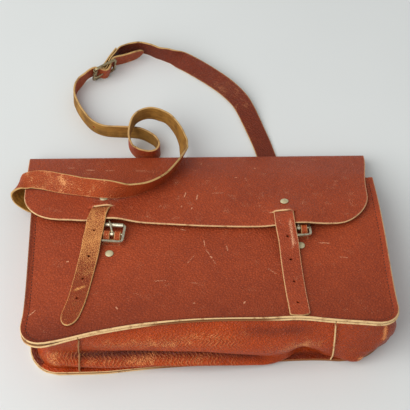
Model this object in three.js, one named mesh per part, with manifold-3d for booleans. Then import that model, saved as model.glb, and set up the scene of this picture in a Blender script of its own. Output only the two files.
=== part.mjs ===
// A worn leather satchel that lies on its back, with its shoulder strap thrown over the top edge.
// Millimetres, +Z up. The origin is the middle of the back panel's outer face. +Y runs from the
// bottom of the bag to the fold at its top, +X to the right of someone who faces the front panel.
import * as THREE from 'three';
import { mergeVertices } from 'three/addons/utils/BufferGeometryUtils.js';
import Module from 'manifold-3d';

const wasm = await Module();
wasm.setup();

// Leather and clearances
const PANEL_T = 2.2;
const GUSSET_T = 1.8;
const STRAP_T = 2;
const TAB_T = 1.5;
const GAP = 0.35;

// Body of the bag
const LEFT = -186;
const RIGHT = 188;
const BOTTOM = -131;
const MOUTH = 80;
const GUSSET_TOP = 76;
const BACK_CORNER = { left: 30, right: 54 };
const FRONT_CORNER = { left: 26, right: 26 };
const MARGIN = 7;
const SIDE_TURN = { left: 9, right: 22 };
const BOTTOM_TURN = 54;
const STRAP_TURN = { x: 90, reach: 24, turn: 15 };
const SEAM_GAP = 0.002;

// Flap
const FLAP_LEFT = -194;
const FLAP_RIGHT = 179;
const FLAP_CORNER = 38;
const FLAP_DROOP = 3.4;
const FLAP_HALF = 190;
const FLAP_TAPER = { from: 110, by: 5.5 };

// Straps
const STRAP_W = 20.5;
const HOLE_R = 1.6;

// Buckles, in a frame of their own: x along the bars, y from the tab to the roller, z out of the panel
const BUCKLE_LIFT = 5.6;
const FRAME = { high: 13.7, corner: 4, bar: 2.4, side: 2.8, thick: 2.4, bevel: 0.5 };
const FRONT_BUCKLE = { half: 13, low: -11.5 };
const BAR_HALF = 1.1;
const ROLLER = { y: 12.5, bore: 1.75, radius: 2.5, inset: 3.2 };
const PRONG = { wire: 1.1, ring: 2.7, bore: 1.75, half: 1.6, slot: 2.4 };
const TAB_W = 17;
const RIVET = { head: 4.4, dome: 2, shank: 1.4, hole: 1.75, foot: 3, washer: 0.9 };

// Side view of the back, fold and flap, at the middle of the leather
const PROFILE = [
  { y: -131, z: 1.1 },
  { y: 0, z: 1.1 },
  { y: 60, z: 1.1 },
  { y: 85, z: 1.1 },
  { y: 98, z: 2.8 },
  { y: 106, z: 4.4 },
  { y: 115, z: 5.6 },
  { y: 123, z: 7.2 },
  { y: 127, z: 10.5 },
  { y: 124, z: 15 },
  { y: 115, z: 21 },
  { y: 98, z: 31.5 },
  { y: 82, z: 40.2 },
  { y: 66, z: 47 },
  { y: 35, z: 57 },
  { y: 0, z: 63.6 },
  { y: -24, z: 66.5 },
];

// Lower edge of the flap
const FLAP_EDGE = [
  { x: -194, y: 20 },
  { x: -165, y: 20 },
  { x: -145, y: 18.4 },
  { x: -126, y: 15.8 },
  { x: -90, y: 13.5 },
  { x: -64, y: 10.4 },
  { x: -36, y: 7.6 },
  { x: 0, y: 4.4 },
  { x: 52, y: 2.2 },
  { x: 95, y: 2 },
  { x: 130, y: 4.5 },
  { x: 179, y: 9 },
];

// Places where what lies behind lifts the flap
const FLAP_BUMPS = [
  { x: -109, y: 44, reach: 20, height: 2.4 },
  { x: -99, y: 10, reach: 20, height: 7 },
  { x: 83, y: 32, reach: 20, height: 2.6 },
  { x: 97, y: 6, reach: 24, height: 7.6 },
];

// Height of the front panel at its left edge, middle and right edge
const FRONT_FORM = [
  { y: 80, left: 33.5, mid: 35, right: 33.5 },
  { y: 35, left: 47, mid: 50, right: 47 },
  { y: 0, left: 53, mid: 57, right: 53 },
  { y: -45, left: 58, mid: 64.5, right: 59 },
  { y: -90, left: 61, mid: 70.5, right: 64 },
  { y: -124, left: 62.5, mid: 76.5, right: 67.5 },
];

// How far the bottom edge of the front panel is drawn up
const FRONT_DIP = [
  { x: -186, dip: -5.4 },
  { x: -150, dip: -3.7 },
  { x: -110, dip: 3 },
  { x: -60, dip: 9 },
  { x: 0, dip: 12 },
  { x: 90, dip: 11 },
  { x: 135, dip: 9.4 },
  { x: 165, dip: 8 },
  { x: 188, dip: 5 },
];

// How far the sides of the front panel stand out at the left and right
const FRONT_FLARE = [
  { y: 80, left: 0, right: -5 },
  { y: 35, left: 0, right: -2.5 },
  { y: 0, left: 0, right: -0.5 },
  { y: -60, left: 0.8, right: 1.5 },
  { y: -90, left: 2.4, right: 3 },
  { y: -108, left: 5.4, right: 4.8 },
  { y: -131, left: 10.5, right: 8 },
];

// How far the bottom edge of the back sags
const BACK_SAG = [
  { x: -186, sag: 3 },
  { x: -110, sag: 3.2 },
  { x: -85, sag: 1 },
  { x: -50, sag: -2 },
  { x: 0, sag: -4 },
  { x: 60, sag: -6 },
  { x: 95, sag: -7 },
  { x: 120, sag: -6.4 },
  { x: 150, sag: -3.4 },
  { x: 188, sag: 0 },
];
const SAG_REACH = 90;

// How much further the fold lies at the left end than at the right end
const FOLD_SKEW = 5.2;

// Folds of the gusset, a row per section. q counts 0-1 down the left side, 1-2 round the left corner,
// 2-3 along the bottom, 3-4 round the right corner and 4-5 up the right side. lobe, lip, crease and roll
// are how far the web stands out from a straight line between its seams, from the front to the back, and
// lag is how far the place on the back's seam runs ahead.
const GUSSET_FOLDS = [
  { q: 0, lobe: -6, lip: -14, crease: -13, roll: -8, lag: 0, rise: 0 },
  { q: 0.5, lobe: -5, lip: -10, crease: -9, roll: -5, lag: 0, rise: 0 },
  { q: 1, lobe: -7, lip: -10, crease: -10, roll: -5, lag: 0, rise: 0 },
  { q: 1.5, lobe: -9, lip: -12, crease: -11, roll: -5, lag: 0, rise: 0.08 },
  { q: 1.75, lobe: -6, lip: -8, crease: -8, roll: -1, lag: 0, rise: 0.17 },
  { q: 2, lobe: -3, lip: -5, crease: -6, roll: 2, lag: 0.015, rise: 0.2 },
  { q: 2.1, lobe: 1, lip: -1, crease: -6, roll: 5, lag: -0.02, rise: 0.16 },
  { q: 2.2, lobe: 7, lip: 4, crease: -6, roll: 9, lag: 0.003, rise: 0.14 },
  { q: 2.35, lobe: 11, lip: 9, crease: -6, roll: 12, lag: 0.023, rise: 0.1 },
  { q: 2.5, lobe: 14, lip: 13, crease: -4, roll: 14.5, lag: 0.039, rise: 0.09 },
  { q: 2.63, lobe: 13, lip: 12, crease: -1, roll: 12, lag: 0.055, rise: -0.04 },
  { q: 2.69, lobe: 12, lip: 11, crease: 5, roll: 10, lag: 0.063, rise: -0.1 },
  { q: 2.745, lobe: 11, lip: 9, crease: 4, roll: 5, lag: 0.069, rise: -0.06 },
  { q: 2.792, lobe: 9, lip: 4, crease: -6, roll: -5, lag: 0.074, rise: -0.035 },
  { q: 2.832, lobe: 7, lip: 6, crease: -2, roll: -4, lag: 0.08, rise: -0.07 },
  { q: 2.875, lobe: 6, lip: 7, crease: 4, roll: 1, lag: 0.084, rise: -0.12 },
  { q: 2.98, lobe: 4, lip: 7, crease: 9, roll: 9, lag: 0.14, rise: 0 },
  { q: 3.2, lobe: 6, lip: 7, crease: 7.5, roll: 7, lag: 0.1, rise: 0 },
  { q: 3.5, lobe: 9, lip: 9, crease: 9, roll: 8.5, lag: 0, rise: 0 },
  { q: 3.65, lobe: 10, lip: 10.5, crease: 11, roll: 9.5, lag: -0.05, rise: 0 },
  { q: 3.8, lobe: 9, lip: 10, crease: 9.5, roll: 8.5, lag: -0.1, rise: 0 },
  { q: 4, lobe: 6, lip: 6.5, crease: 5.5, roll: 6, lag: -0.14, rise: 0 },
  { q: 4.25, lobe: 0, lip: -2, crease: -3, roll: 0, lag: -0.12, rise: 0 },
  { q: 4.5, lobe: -5, lip: -9, crease: -10, roll: -4, lag: -0.09, rise: 0 },
  { q: 5, lobe: -6, lip: -12, crease: -14, roll: -6, lag: 0, rise: 0 },
];
const FOLD_AT = { lobe: 0.64, lip: 0.4, crease: 0.25, roll: 0.11 };
const FOLD_RISE = { lobe: 0.55, lip: 1, crease: 1, roll: 0.7 };
const WEB_STOPS = [0, 0.5, 1, 2, 3, 3.6, 4.3, 5];
const SEAM_LEFT = 2.095;
const SEAM_RIGHT = 2.885;
const DENT_FROM = 2.61;

// Closing straps. on says what a row lies on: under the flap, in its slit, on the flap or on the panel.
const CLOSING = {
  left: {
    rivet: { x: -108.4, y: 46.3 },
    turn: -10,
    width: 18.5,
    tip: 15,
    holes: [0, -30.8, -58, -82.2],
    rows: [
      { x: -107.2, y: 54, on: 'under', lift: 0 },
      { x: -108.4, y: 46.3, on: 'under', lift: 0 },
      { x: -109.7, y: 38, on: 'under', lift: -1.1 },
      { x: -110.8, y: 32.2, on: 'slit', lift: 0 },
      { x: -112, y: 26.6, on: 'flap', lift: 0.4 },
      { x: -113.7, y: 19.5, on: 'flap', lift: 1.3 },
      { x: -116.2, y: 9, on: 'panel', lift: 9.5 },
      { x: -117.5, y: 0, on: 'panel', lift: 7.9 },
      { x: -119.5, y: -11, on: 'panel', lift: 7 },
      { x: -121.7, y: -26, on: 'panel', lift: 3.6 },
      { x: -125, y: -42, on: 'panel', lift: 0.9 },
      { x: -128.6, y: -60, on: 'panel', lift: 0.1 },
      { x: -134.2, y: -85, on: 'panel', lift: 0 },
      { x: -139.6, y: -101, on: 'panel', lift: 0.2 },
      { x: -144, y: -114, on: 'panel', lift: 0.9 },
    ],
  },
  right: {
    rivet: { x: 83.6, y: 33.6 },
    turn: -3,
    width: 20,
    tip: 5,
    holes: [-14.3, -41.6, -69.4, -96.4],
    rows: [
      { x: 84.2, y: 41, on: 'under', lift: 0 },
      { x: 83.6, y: 33.6, on: 'under', lift: 0 },
      { x: 82.5, y: 24, on: 'under', lift: -1.3 },
      { x: 81.9, y: 18.2, on: 'slit', lift: 0 },
      { x: 81.6, y: 12.6, on: 'flap', lift: 0.3 },
      { x: 81.9, y: 5.5, on: 'flap', lift: 0.8 },
      { x: 82.7, y: -3, on: 'panel', lift: 10.4 },
      { x: 83.9, y: -12, on: 'panel', lift: 7.6 },
      { x: 84.9, y: -21, on: 'panel', lift: 5.4 },
      { x: 85.6, y: -33, on: 'panel', lift: 2.2 },
      { x: 86.3, y: -47, on: 'panel', lift: 0.4 },
      { x: 87.4, y: -66, on: 'panel', lift: 0 },
      { x: 89, y: -88, on: 'panel', lift: 0 },
      { x: 90.2, y: -101, on: 'panel', lift: 0.1 },
      { x: 91, y: -112, on: 'panel', lift: 0.4 },
    ],
  },
};

// Front buckles: middle of the centre bar, turn about the panel's normal, distance from bar to rivet,
// and how far the prong leans to the left
const BUCKLES = {
  left: { x: -98.4, y: -4.2, turn: -8, tab: 22.4, skew: 20 },
  right: { x: 96.3, y: -2, turn: 4, tab: 19.5, skew: 0 },
};

// Tab that folds round the centre bar, seen from the side: y along the tab, z out of the panel.
// Its two ends pass through a slit in the panel and lie behind it, under the rivet.
const TAB_FOLD = [
  { y: -15, z: -11.25 },
  { y: -11, z: -10.8 },
  { y: -8.2, z: -8.4 },
  { y: -6.2, z: -5.4 },
  { y: -4.1, z: -3.2 },
  { y: -1.8, z: -2.3 },
  { y: 0, z: -2.45 },
  { y: 1.75, z: -1.75 },
  { y: 2.45, z: 0 },
  { y: 1.75, z: 1.75 },
  { y: 0, z: 2.45 },
  { y: -3.2, z: 1.3 },
  { y: -5.9, z: -1.2 },
  { y: -7.9, z: -4.1 },
  { y: -9.7, z: -7.1 },
  { y: -11.8, z: -9 },
  { y: -15, z: -9.4 },
];
const TAB_BEHIND = { low: -11.3, high: -9.4, end: 5.5 };
const TAB_SLIT = { y: -8.3, half: 3.6 };
const STRAP_SLIT = { y: 0, half: 7.9 };

// Shoulder strap, a row per station of its middle line. The strap's width runs from its lower edge to
// its upper edge: lean is the tilt of that direction from the vertical, toward the compass of the tilt.
const STRAP_LONG = [
  { x: -171.8, y: 56.5, z: 10.5, lean: 90, toward: 90 },
  { x: -172, y: 56.5, z: 16.5, lean: 90, toward: 90 },
  { x: -177, y: 57, z: 22.2, lean: 90, toward: 90 },
  { x: -186, y: 60.5, z: 23.8, lean: 90, toward: 80 },
  { x: -194.5, y: 65, z: 25, lean: 90, toward: 70 },
  { x: -202.2, y: 70.5, z: 28.5, lean: 90, toward: 63 },
  { x: -204.4, y: 74, z: 36, lean: 90, toward: 61 },
  { x: -198.6, y: 77.4, z: 44, lean: 88, toward: 66 },
  { x: -188.5, y: 78, z: 47.4, lean: 84, toward: 74 },
  { x: -177, y: 75.8, z: 50.6, lean: 75, toward: 82 },
  { x: -154.4, y: 67, z: 56, lean: 56, toward: 90 },
  { x: -128.6, y: 57.5, z: 62.4, lean: 36, toward: 90 },
  { x: -107, y: 49.4, z: 70, lean: 32, toward: 85 },
  { x: -79.5, y: 50, z: 65, lean: 5, toward: 40 },
  { x: -58.9, y: 58, z: 61.4, lean: 10, toward: -82 },
  { x: -43.4, y: 71.5, z: 56, lean: 14, toward: -75 },
  { x: -27, y: 101.5, z: 42.8, lean: 16, toward: -68 },
  { x: -21.8, y: 122.5, z: 30.4, lean: 27, toward: -60 },
  { x: -22.3, y: 137, z: 26.2, lean: 40, toward: -57 },
  { x: -27, y: 153, z: 26.6, lean: 36, toward: -48 },
  { x: -38.3, y: 170, z: 28, lean: 20, toward: -31 },
  { x: -49.2, y: 176, z: 28.8, lean: 14, toward: -10 },
  { x: -59.5, y: 178, z: 29.6, lean: 8, toward: 0 },
  { x: -70.5, y: 173.7, z: 31, lean: 5, toward: 0 },
  { x: -78, y: 164.8, z: 32.2, lean: 2, toward: 0 },
  { x: -81.6, y: 155, z: 28, lean: 2, toward: -90 },
  { x: -82, y: 147.5, z: 20, lean: 3, toward: -90 },
  { x: -79.4, y: 141, z: 14, lean: 3, toward: -90 },
  { x: -73.8, y: 136, z: 11.3, lean: 2, toward: -90 },
  { x: -66, y: 132.6, z: 10.8, lean: 0, toward: 0 },
  { x: -58.5, y: 131.6, z: 10.8, lean: 0, toward: 0 },
  { x: -52.2, y: 134.4, z: 10.8, lean: 0, toward: 0 },
  { x: -49.3, y: 142, z: 10.8, lean: 0, toward: 0 },
  { x: -53.6, y: 151.8, z: 10.7, lean: 0, toward: 0 },
  { x: -61.7, y: 158.7, z: 10.6, lean: 0, toward: 0 },
  { x: -70.6, y: 163.5, z: 10.6, lean: 0, toward: 0 },
  { x: -80, y: 165.4, z: 10.6, lean: 0, toward: 0 },
  { x: -94, y: 166.5, z: 10.6, lean: 0, toward: 0 },
  { x: -111.5, y: 168.6, z: 10.6, lean: 2, toward: -90 },
  { x: -124.3, y: 175.6, z: 10.6, lean: 3, toward: -60 },
  { x: -135.5, y: 190, z: 10.6, lean: 3, toward: -40 },
  { x: -143.4, y: 206, z: 10.6, lean: 3, toward: -20 },
  { x: -146.6, y: 217.5, z: 10.6, lean: 3, toward: 0 },
  { x: -145.6, y: 229, z: 10.6, lean: 3, toward: 0 },
  { x: -141, y: 238, z: 10.6, lean: 3, toward: 0 },
];
const STRAP_SHORT = [
  { x: -85, y: 286.2, z: 10.7, lean: 2, toward: -40 },
  { x: -72.4, y: 288.6, z: 10.7, lean: 4, toward: -60 },
  { x: -60, y: 285.3, z: 10.7, lean: 9, toward: -30 },
  { x: -49.3, y: 279.5, z: 10.7, lean: 14, toward: -20 },
  { x: -35.5, y: 274.3, z: 10.9, lean: 22, toward: 10 },
  { x: -19.2, y: 267.5, z: 8.6, lean: 50, toward: 42 },
  { x: -0.2, y: 254.8, z: 7.3, lean: 59, toward: 47 },
  { x: 14.2, y: 243.3, z: 6.9, lean: 62, toward: 42 },
  { x: 28.9, y: 229.8, z: 6.6, lean: 64, toward: 38 },
  { x: 43.5, y: 212, z: 5.5, lean: 71, toward: 24 },
  { x: 50.2, y: 199, z: 4.1, lean: 79, toward: 8 },
  { x: 56, y: 183.5, z: 2.9, lean: 86, toward: -8 },
  { x: 60.8, y: 169.5, z: 2.2, lean: 90, toward: -14 },
  { x: 66.3, y: 153, z: 1.6, lean: 90, toward: -14 },
  { x: 71, y: 135.5, z: 1.6, lean: 90, toward: -12 },
  { x: 75.5, y: 118, z: 1.6, lean: 90, toward: -12 },
  { x: 78, y: 107, z: 1.6, lean: 90, toward: -12 },
];
const SKIVED_T = 1.5;

// Shoulder buckle. u runs along the strap from the roller to the tongue's tip, n out toward the bag and
// z up the buckle, which leans toward the bag.
const SHOULDER = { x: -112.5, y: 252.5, z: 14.8, heading: 32, lean: 13, half: 14.3, low: -15.6 };
const TONGUE = [
  { u: -21, n: -4.6, z: 12.2 },
  { u: -13, n: -4.6, z: 14.2 },
  { u: -10, n: -3.6, z: 14.6 },
  { u: -6, n: 0.4, z: 14.6 },
  { u: -2.4, n: 4.6, z: 14.6 },
  { u: 1, n: 5.4, z: 14.6 },
  { u: 5, n: 3.4, z: 14.6 },
  { u: 9, n: -0.4, z: 14.6 },
  { u: 13.4, n: -3.8, z: 14.4 },
  { u: 17, n: -4.3, z: 13.6 },
  { u: 24, n: -3.4, z: 12 },
  { u: 33, n: -1.8, z: 11 },
  { u: 43, n: -0.4, z: 10.7 },
  { u: 54, n: 0.4, z: 10.7 },
];
const CHAPE = [
  { u: 24, n: -14.2, z: 14 },
  { u: 18, n: -11.4, z: 14.6 },
  { u: 11.5, n: -8.4, z: 14.8 },
  { u: 4.6, n: -4.7, z: 14.8 },
  { u: 0, n: -2.5, z: 14.8 },
  { u: -1.75, n: -1.75, z: 14.8 },
  { u: -2.45, n: 0, z: 14.8 },
  { u: -1.75, n: 1.75, z: 14.8 },
  { u: 0, n: 2.45, z: 14.8 },
  { u: 3.6, n: 0.6, z: 14.8 },
  { u: 7.6, n: -3.2, z: 14.8 },
  { u: 12.6, n: -6.6, z: 14.6 },
  { u: 20, n: -9.9, z: 13.2 },
  { u: 30, n: -14, z: 11.4 },
];
const TONGUE_TIP = 15;
const STRAP_HOLE = { x: -123.4, y: 175, radius: 1.6 };

// Colours
const LEATHER = { color: 0x96462d, roughness: 0.55, metalness: 0 };
const GUSSET_LEATHER = { color: 0xb05a32, roughness: 0.5, metalness: 0 };
const STRAP_LEATHER = { color: 0xa0552f, roughness: 0.6, metalness: 0 };
const METAL = { color: 0xd7cdaa, roughness: 0.35, metalness: 1 };

const point = (x, y, z) => new THREE.Vector3(x, y, z);
const radians = THREE.MathUtils.degToRad;
const mix = THREE.MathUtils.lerp;
const UP = point(0, 0, 1);
const smoothCurve = (places) => new THREE.CatmullRomCurve3(places, false, 'centripetal');

// Reads one column of a table as a smooth function of its key column.
function reader(rows, key, column) {
  const slope = (i) => {
    const a = rows[Math.max(i - 1, 0)];
    const b = rows[Math.min(i + 1, rows.length - 1)];
    return (b[column] - a[column]) / (b[key] - a[key]);
  };
  const rising = rows[rows.length - 1][key] > rows[0][key];
  return (t) => {
    let i = 0;
    while (i < rows.length - 2 && (rising ? rows[i + 1][key] < t : rows[i + 1][key] > t)) {
      i += 1;
    }
    const span = rows[i + 1][key] - rows[i][key];
    const k = THREE.MathUtils.clamp((t - rows[i][key]) / span, 0, 1);
    const k2 = k * k;
    const k3 = k2 * k;
    return rows[i][column] * (2 * k3 - 3 * k2 + 1) + slope(i) * span * (k3 - 2 * k2 + k)
      + rows[i + 1][column] * (3 * k2 - 2 * k3) + slope(i + 1) * span * (k3 - k2);
  };
}

// Evenly spread values from a to b.
function spread(a, b, count) {
  return Array.from({ length: count }, (_, i) => mix(a, b, i / (count - 1)));
}

// A closed geometry from corner points and triangles.
function closedGeometry(corners, triangles) {
  const geometry = new THREE.BufferGeometry();
  geometry.setAttribute('position', new THREE.Float32BufferAttribute(corners.flatMap((p) => p.toArray()), 3));
  geometry.setIndex(triangles.flat());
  return geometry;
}

// A sheet of leather: a grid of points at the middle of the leather, thickened to both sides.
function sheet(grid, thickness) {
  const across = grid[0].length;
  const flat = grid.flat();
  const quads = [];
  for (let i = 0; i + 1 < grid.length; i += 1) {
    for (let j = 0; j + 1 < across; j += 1) {
      const a = i * across + j;
      quads.push([a, a + 1, a + across + 1, a + across]);
    }
  }
  const normals = flat.map(() => point(0, 0, 0));
  for (const [a, b, c, d] of quads) {
    const face = flat[c].clone().sub(flat[a]).cross(flat[d].clone().sub(flat[b]));
    for (const corner of [a, b, c, d]) {
      normals[corner].add(face);
    }
  }
  normals.forEach((normal) => normal.normalize().multiplyScalar(thickness / 2));
  const count = flat.length;
  const corners = [
    ...flat.map((p, i) => p.clone().add(normals[i])),
    ...flat.map((p, i) => p.clone().sub(normals[i])),
  ];
  const triangles = [];
  for (const [a, b, c, d] of quads) {
    triangles.push([a, b, c], [a, c, d]);
    triangles.push([count + c, count + b, count + a], [count + d, count + c, count + a]);
  }
  const rim = [];
  for (let j = 0; j < across; j += 1) rim.push(j);
  for (let i = 1; i < grid.length; i += 1) rim.push(i * across + across - 1);
  for (let j = across - 2; j >= 0; j -= 1) rim.push((grid.length - 1) * across + j);
  for (let i = grid.length - 2; i > 0; i -= 1) rim.push(i * across);
  rim.forEach((a, i) => {
    const b = rim[(i + 1) % rim.length];
    triangles.push([b, a, count + a], [b, count + a, count + b]);
  });
  return closedGeometry(corners, triangles);
}

// A strap: sections of {middle, width direction, out direction, width, thickness}, joined and capped.
function ribbon(sections) {
  const corners = [];
  const triangles = [];
  for (const { middle, across, out, width, thick } of sections) {
    for (const [a, b] of [[-1, -1], [1, -1], [1, 1], [-1, 1]]) {
      corners.push(middle.clone().addScaledVector(across, a * width / 2).addScaledVector(out, b * thick / 2));
    }
  }
  for (let i = 0; i + 1 < sections.length; i += 1) {
    for (let k = 0; k < 4; k += 1) {
      const a = i * 4 + k;
      const b = i * 4 + (k + 1) % 4;
      triangles.push([a, b + 4, a + 4], [a, b, b + 4]);
    }
  }
  const end = (sections.length - 1) * 4;
  triangles.push([0, 2, 1], [0, 3, 2], [end, end + 1, end + 2], [end, end + 2, end + 3]);
  return closedGeometry(corners, triangles);
}

// Sections of a strap along a table of stations, no further apart than step and one at every row.
function strapSections(rows, step, sizeAt) {
  const places = rows.map((row) => point(row.x, row.y, row.z));
  const curve = smoothCurve(places);
  const spans = rows.length - 1;
  const tilts = rows.map((row) => point(
    Math.sin(radians(row.lean)) * Math.cos(radians(row.toward)),
    Math.sin(radians(row.lean)) * Math.sin(radians(row.toward)),
    Math.cos(radians(row.lean)),
  ));
  const stops = [];
  for (let i = 0; i < spans; i += 1) {
    const count = Math.ceil(places[i].distanceTo(places[i + 1]) / step);
    stops.push(...spread(i, i + 1, count + 1).slice(0, -1));
  }
  stops.push(spans);
  const middles = stops.map((stop) => curve.getPoint(stop / spans));
  const lengths = [0];
  for (let k = 1; k < middles.length; k += 1) {
    lengths.push(lengths[k - 1] + middles[k].distanceTo(middles[k - 1]));
  }
  return stops.map((stop, k) => {
    const along = curve.getTangent(stop / spans);
    const i = Math.min(Math.floor(stop), spans - 1);
    const across = tilts[i].clone().lerp(tilts[i + 1], THREE.MathUtils.smoothstep(stop - i, 0, 1));
    across.addScaledVector(along, -across.dot(along)).normalize();
    const out = along.clone().cross(across);
    return { middle: middles[k], across, out, ...sizeAt(lengths[k], lengths[lengths.length - 1]) };
  });
}

// Joins and cuts
function toSolid(geometry) {
  const bare = geometry.clone();
  bare.deleteAttribute('normal');
  bare.deleteAttribute('uv');
  const merged = mergeVertices(bare, 1e-4);
  return new wasm.Manifold(new wasm.Mesh({
    numProp: 3,
    vertProperties: Float32Array.from(merged.attributes.position.array),
    triVerts: Uint32Array.from(merged.index.array),
  }));
}

function toGeometry(solid) {
  const { vertProperties, triVerts } = solid.getMesh();
  const geometry = new THREE.BufferGeometry();
  geometry.setAttribute('position', new THREE.Float32BufferAttribute(vertProperties, 3));
  geometry.setIndex(new THREE.Uint32BufferAttribute(triVerts, 1));
  return geometry;
}

function cut(geometry, ...tools) {
  return toGeometry(tools.reduce((solid, tool) => solid.subtract(toSolid(tool)), toSolid(geometry)));
}

function join(geometry, ...others) {
  return toGeometry(others.reduce((solid, other) => solid.add(toSolid(other)), toSolid(geometry)));
}

function drill(matrix, radius, reach) {
  return new THREE.CylinderGeometry(radius, radius, 2 * reach, 8).rotateX(Math.PI / 2).applyMatrix4(matrix);
}

// Back, fold and flap
const profile = smoothCurve(PROFILE.map((row) => point(0, row.y, row.z)));
profile.arcLengthDivisions = 1200;
const profileLength = profile.getLength();
const profilePoints = profile.getSpacedPoints(900);
const foldIndex = profilePoints.reduce((best, p, i) => (p.y > profilePoints[best].y ? i : best), 0);
const foldLength = profileLength * foldIndex / 900;
const flapEdge = reader(FLAP_EDGE, 'x', 'y');

function bumpAt(x, y) {
  return FLAP_BUMPS.reduce((sum, bump) => {
    const far = ((x - bump.x) ** 2 + (y - bump.y) ** 2) / bump.reach ** 2;
    return sum + bump.height * Math.exp(-far);
  }, 0);
}

function flapMiddle(x, y) {
  let i = foldIndex;
  while (i < profilePoints.length - 2 && profilePoints[i + 1].y > y) i += 1;
  const a = profilePoints[i];
  const b = profilePoints[i + 1];
  const z = mix(a.z, b.z, (a.y - y) / (a.y - b.y));
  const rise = THREE.MathUtils.smoothstep(z, 12, 40);
  return z + rise * (bumpAt(x, y) - FLAP_DROOP * (x / FLAP_HALF) ** 2);
}

const backSag = reader(BACK_SAG, 'x', 'sag');
const sagAt = (x, y) => backSag(x) * THREE.MathUtils.clamp(1 - (y - BOTTOM) / SAG_REACH, 0, 1) ** 2;

// A point of the back and flap, s along the side view from the bottom edge.
function backPoint(x, s) {
  const place = profile.getPointAt(THREE.MathUtils.clamp(s / profileLength, 0, 1));
  const skew = FOLD_SKEW * x / (FLAP_RIGHT - FLAP_LEFT) * THREE.MathUtils.smoothstep(place.y, 70, 120);
  if (s > foldLength) {
    return point(x, place.y - skew, flapMiddle(x, place.y));
  }
  return point(x, place.y - skew - sagAt(x, place.y), Math.max(place.z, PANEL_T / 2));
}

function flapLengthTo(y) {
  let i = foldIndex;
  while (i < profilePoints.length - 2 && profilePoints[i + 1].y > y) i += 1;
  const a = profilePoints[i];
  const b = profilePoints[i + 1];
  return profileLength * (i + (a.y - y) / (a.y - b.y)) / 900;
}

// The flap's right edge draws in below the fold.
function drawnIn(x, s) {
  const below = THREE.MathUtils.smoothstep(s, foldLength + 8, foldLength + 80);
  return x - FLAP_TAPER.by * below * THREE.MathUtils.smoothstep(x, FLAP_TAPER.from, FLAP_RIGHT);
}

function roundIn(radius, depth) {
  return depth >= radius ? 0 : radius - Math.sqrt(radius ** 2 - (radius - depth) ** 2);
}
const COLUMNS = [0, 0.07, 0.14, 0.196, 0.25, 0.29, 0.36, 0.5, 0.64, 0.712, 0.768, 0.81, 0.86, 0.93, 1];

function backFlapGrid() {
  const backEnd = foldLength - 46;
  const backRows = [0, 2, 7, 15, 25, BACK_CORNER.left, BACK_CORNER.right, 90, 150, backEnd];
  const foldRows = spread(backEnd + 8, foldLength + 40, 12);
  const grid = [];
  for (const s of [...backRows, ...foldRows]) {
    const turn = THREE.MathUtils.smoothstep(s, 120, foldLength);
    const left = mix(LEFT, FLAP_LEFT, turn) + roundIn(BACK_CORNER.left, s);
    const right = mix(RIGHT, FLAP_RIGHT, turn) - roundIn(BACK_CORNER.right, s);
    grid.push(COLUMNS.map((k) => backPoint(drawnIn(mix(left, right, k), s), s)));
  }
  const start = foldLength + 40;
  const depths = [0, 2, 7, 15, 25, FLAP_CORNER, 52];
  const flapRows = [...depths].reverse();
  for (const depth of flapRows) {
    const inset = roundIn(FLAP_CORNER, depth);
    grid.push(COLUMNS.map((k) => {
      const x = mix(FLAP_LEFT + inset, FLAP_RIGHT - inset, k);
      const s = Math.max(start + 8, flapLengthTo(flapEdge(x)) - depth);
      return backPoint(drawnIn(x, s), s);
    }));
  }
  return grid;
}

// Front panel. Its flat outline is bent over the contents, and its sewn margin turns up and out.
const frontLeft = reader(FRONT_FORM, 'y', 'left');
const frontMid = reader(FRONT_FORM, 'y', 'mid');
const frontRight = reader(FRONT_FORM, 'y', 'right');
const frontDip = reader(FRONT_DIP, 'x', 'dip');
const flareLeft = reader(FRONT_FLARE, 'y', 'left');
const flareRight = reader(FRONT_FLARE, 'y', 'right');
const acrossFront = (x) => (x - (LEFT + RIGHT) / 2) / ((RIGHT - LEFT) / 2);

function frontMiddle(x, y) {
  const side = acrossFront(x);
  const edge = side < 0 ? frontLeft(y) : frontRight(y);
  return mix(frontMid(y), edge, side ** 2);
}

function frontForm(x, y) {
  const drop = (MOUTH - y) / (MOUTH - BOTTOM);
  const side = acrossFront(x);
  const flare = (side < 0 ? -flareLeft(y) : flareRight(y)) * side ** 4;
  return point(x + flare, y + frontDip(x) * drop ** 2, frontMiddle(x, y));
}

// Height of the front panel's outer face over a place in plan.
function frontTop(x, y) {
  let flat = y;
  for (let i = 0; i < 6; i += 1) {
    flat += y - frontForm(x, flat).y;
  }
  return frontMiddle(x, flat) + PANEL_T / 2;
}

// Nearest edge of a panel's flat outline: how far in a place lies, and which way is out.
function edgeOf(x, y, radius) {
  const middle = (LEFT + RIGHT) / 2;
  const side = Math.sign(x - middle) || 1;
  const beyondX = Math.abs(x - middle) - ((RIGHT - LEFT) / 2 - radius);
  const beyondY = BOTTOM + radius - y;
  if (beyondX > 0 && beyondY > 0) {
    const far = Math.hypot(beyondX, beyondY) || 1;
    return { inset: radius - far, nx: side * beyondX / far, ny: -beyondY / far };
  }
  return beyondX > beyondY
    ? { inset: radius - beyondX, nx: side, ny: 0 }
    : { inset: radius - beyondY, nx: 0, ny: -1 };
}

// The margin stands up most along the bottom and lies flatter toward the mouth.
function marginTurn(x, y, ny) {
  const side = x < 0 ? SIDE_TURN.left : SIDE_TURN.right;
  const bottom = (BOTTOM_TURN - side) * (1 - (x / 205) ** 4);
  const besideStrap = STRAP_TURN.turn * Math.exp(-(((x - STRAP_TURN.x) / STRAP_TURN.reach) ** 2));
  return radians((side + (bottom + besideStrap) * ny ** 2) * (1 - 0.85 * THREE.MathUtils.smoothstep(y, 10, MOUTH)));
}

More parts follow.
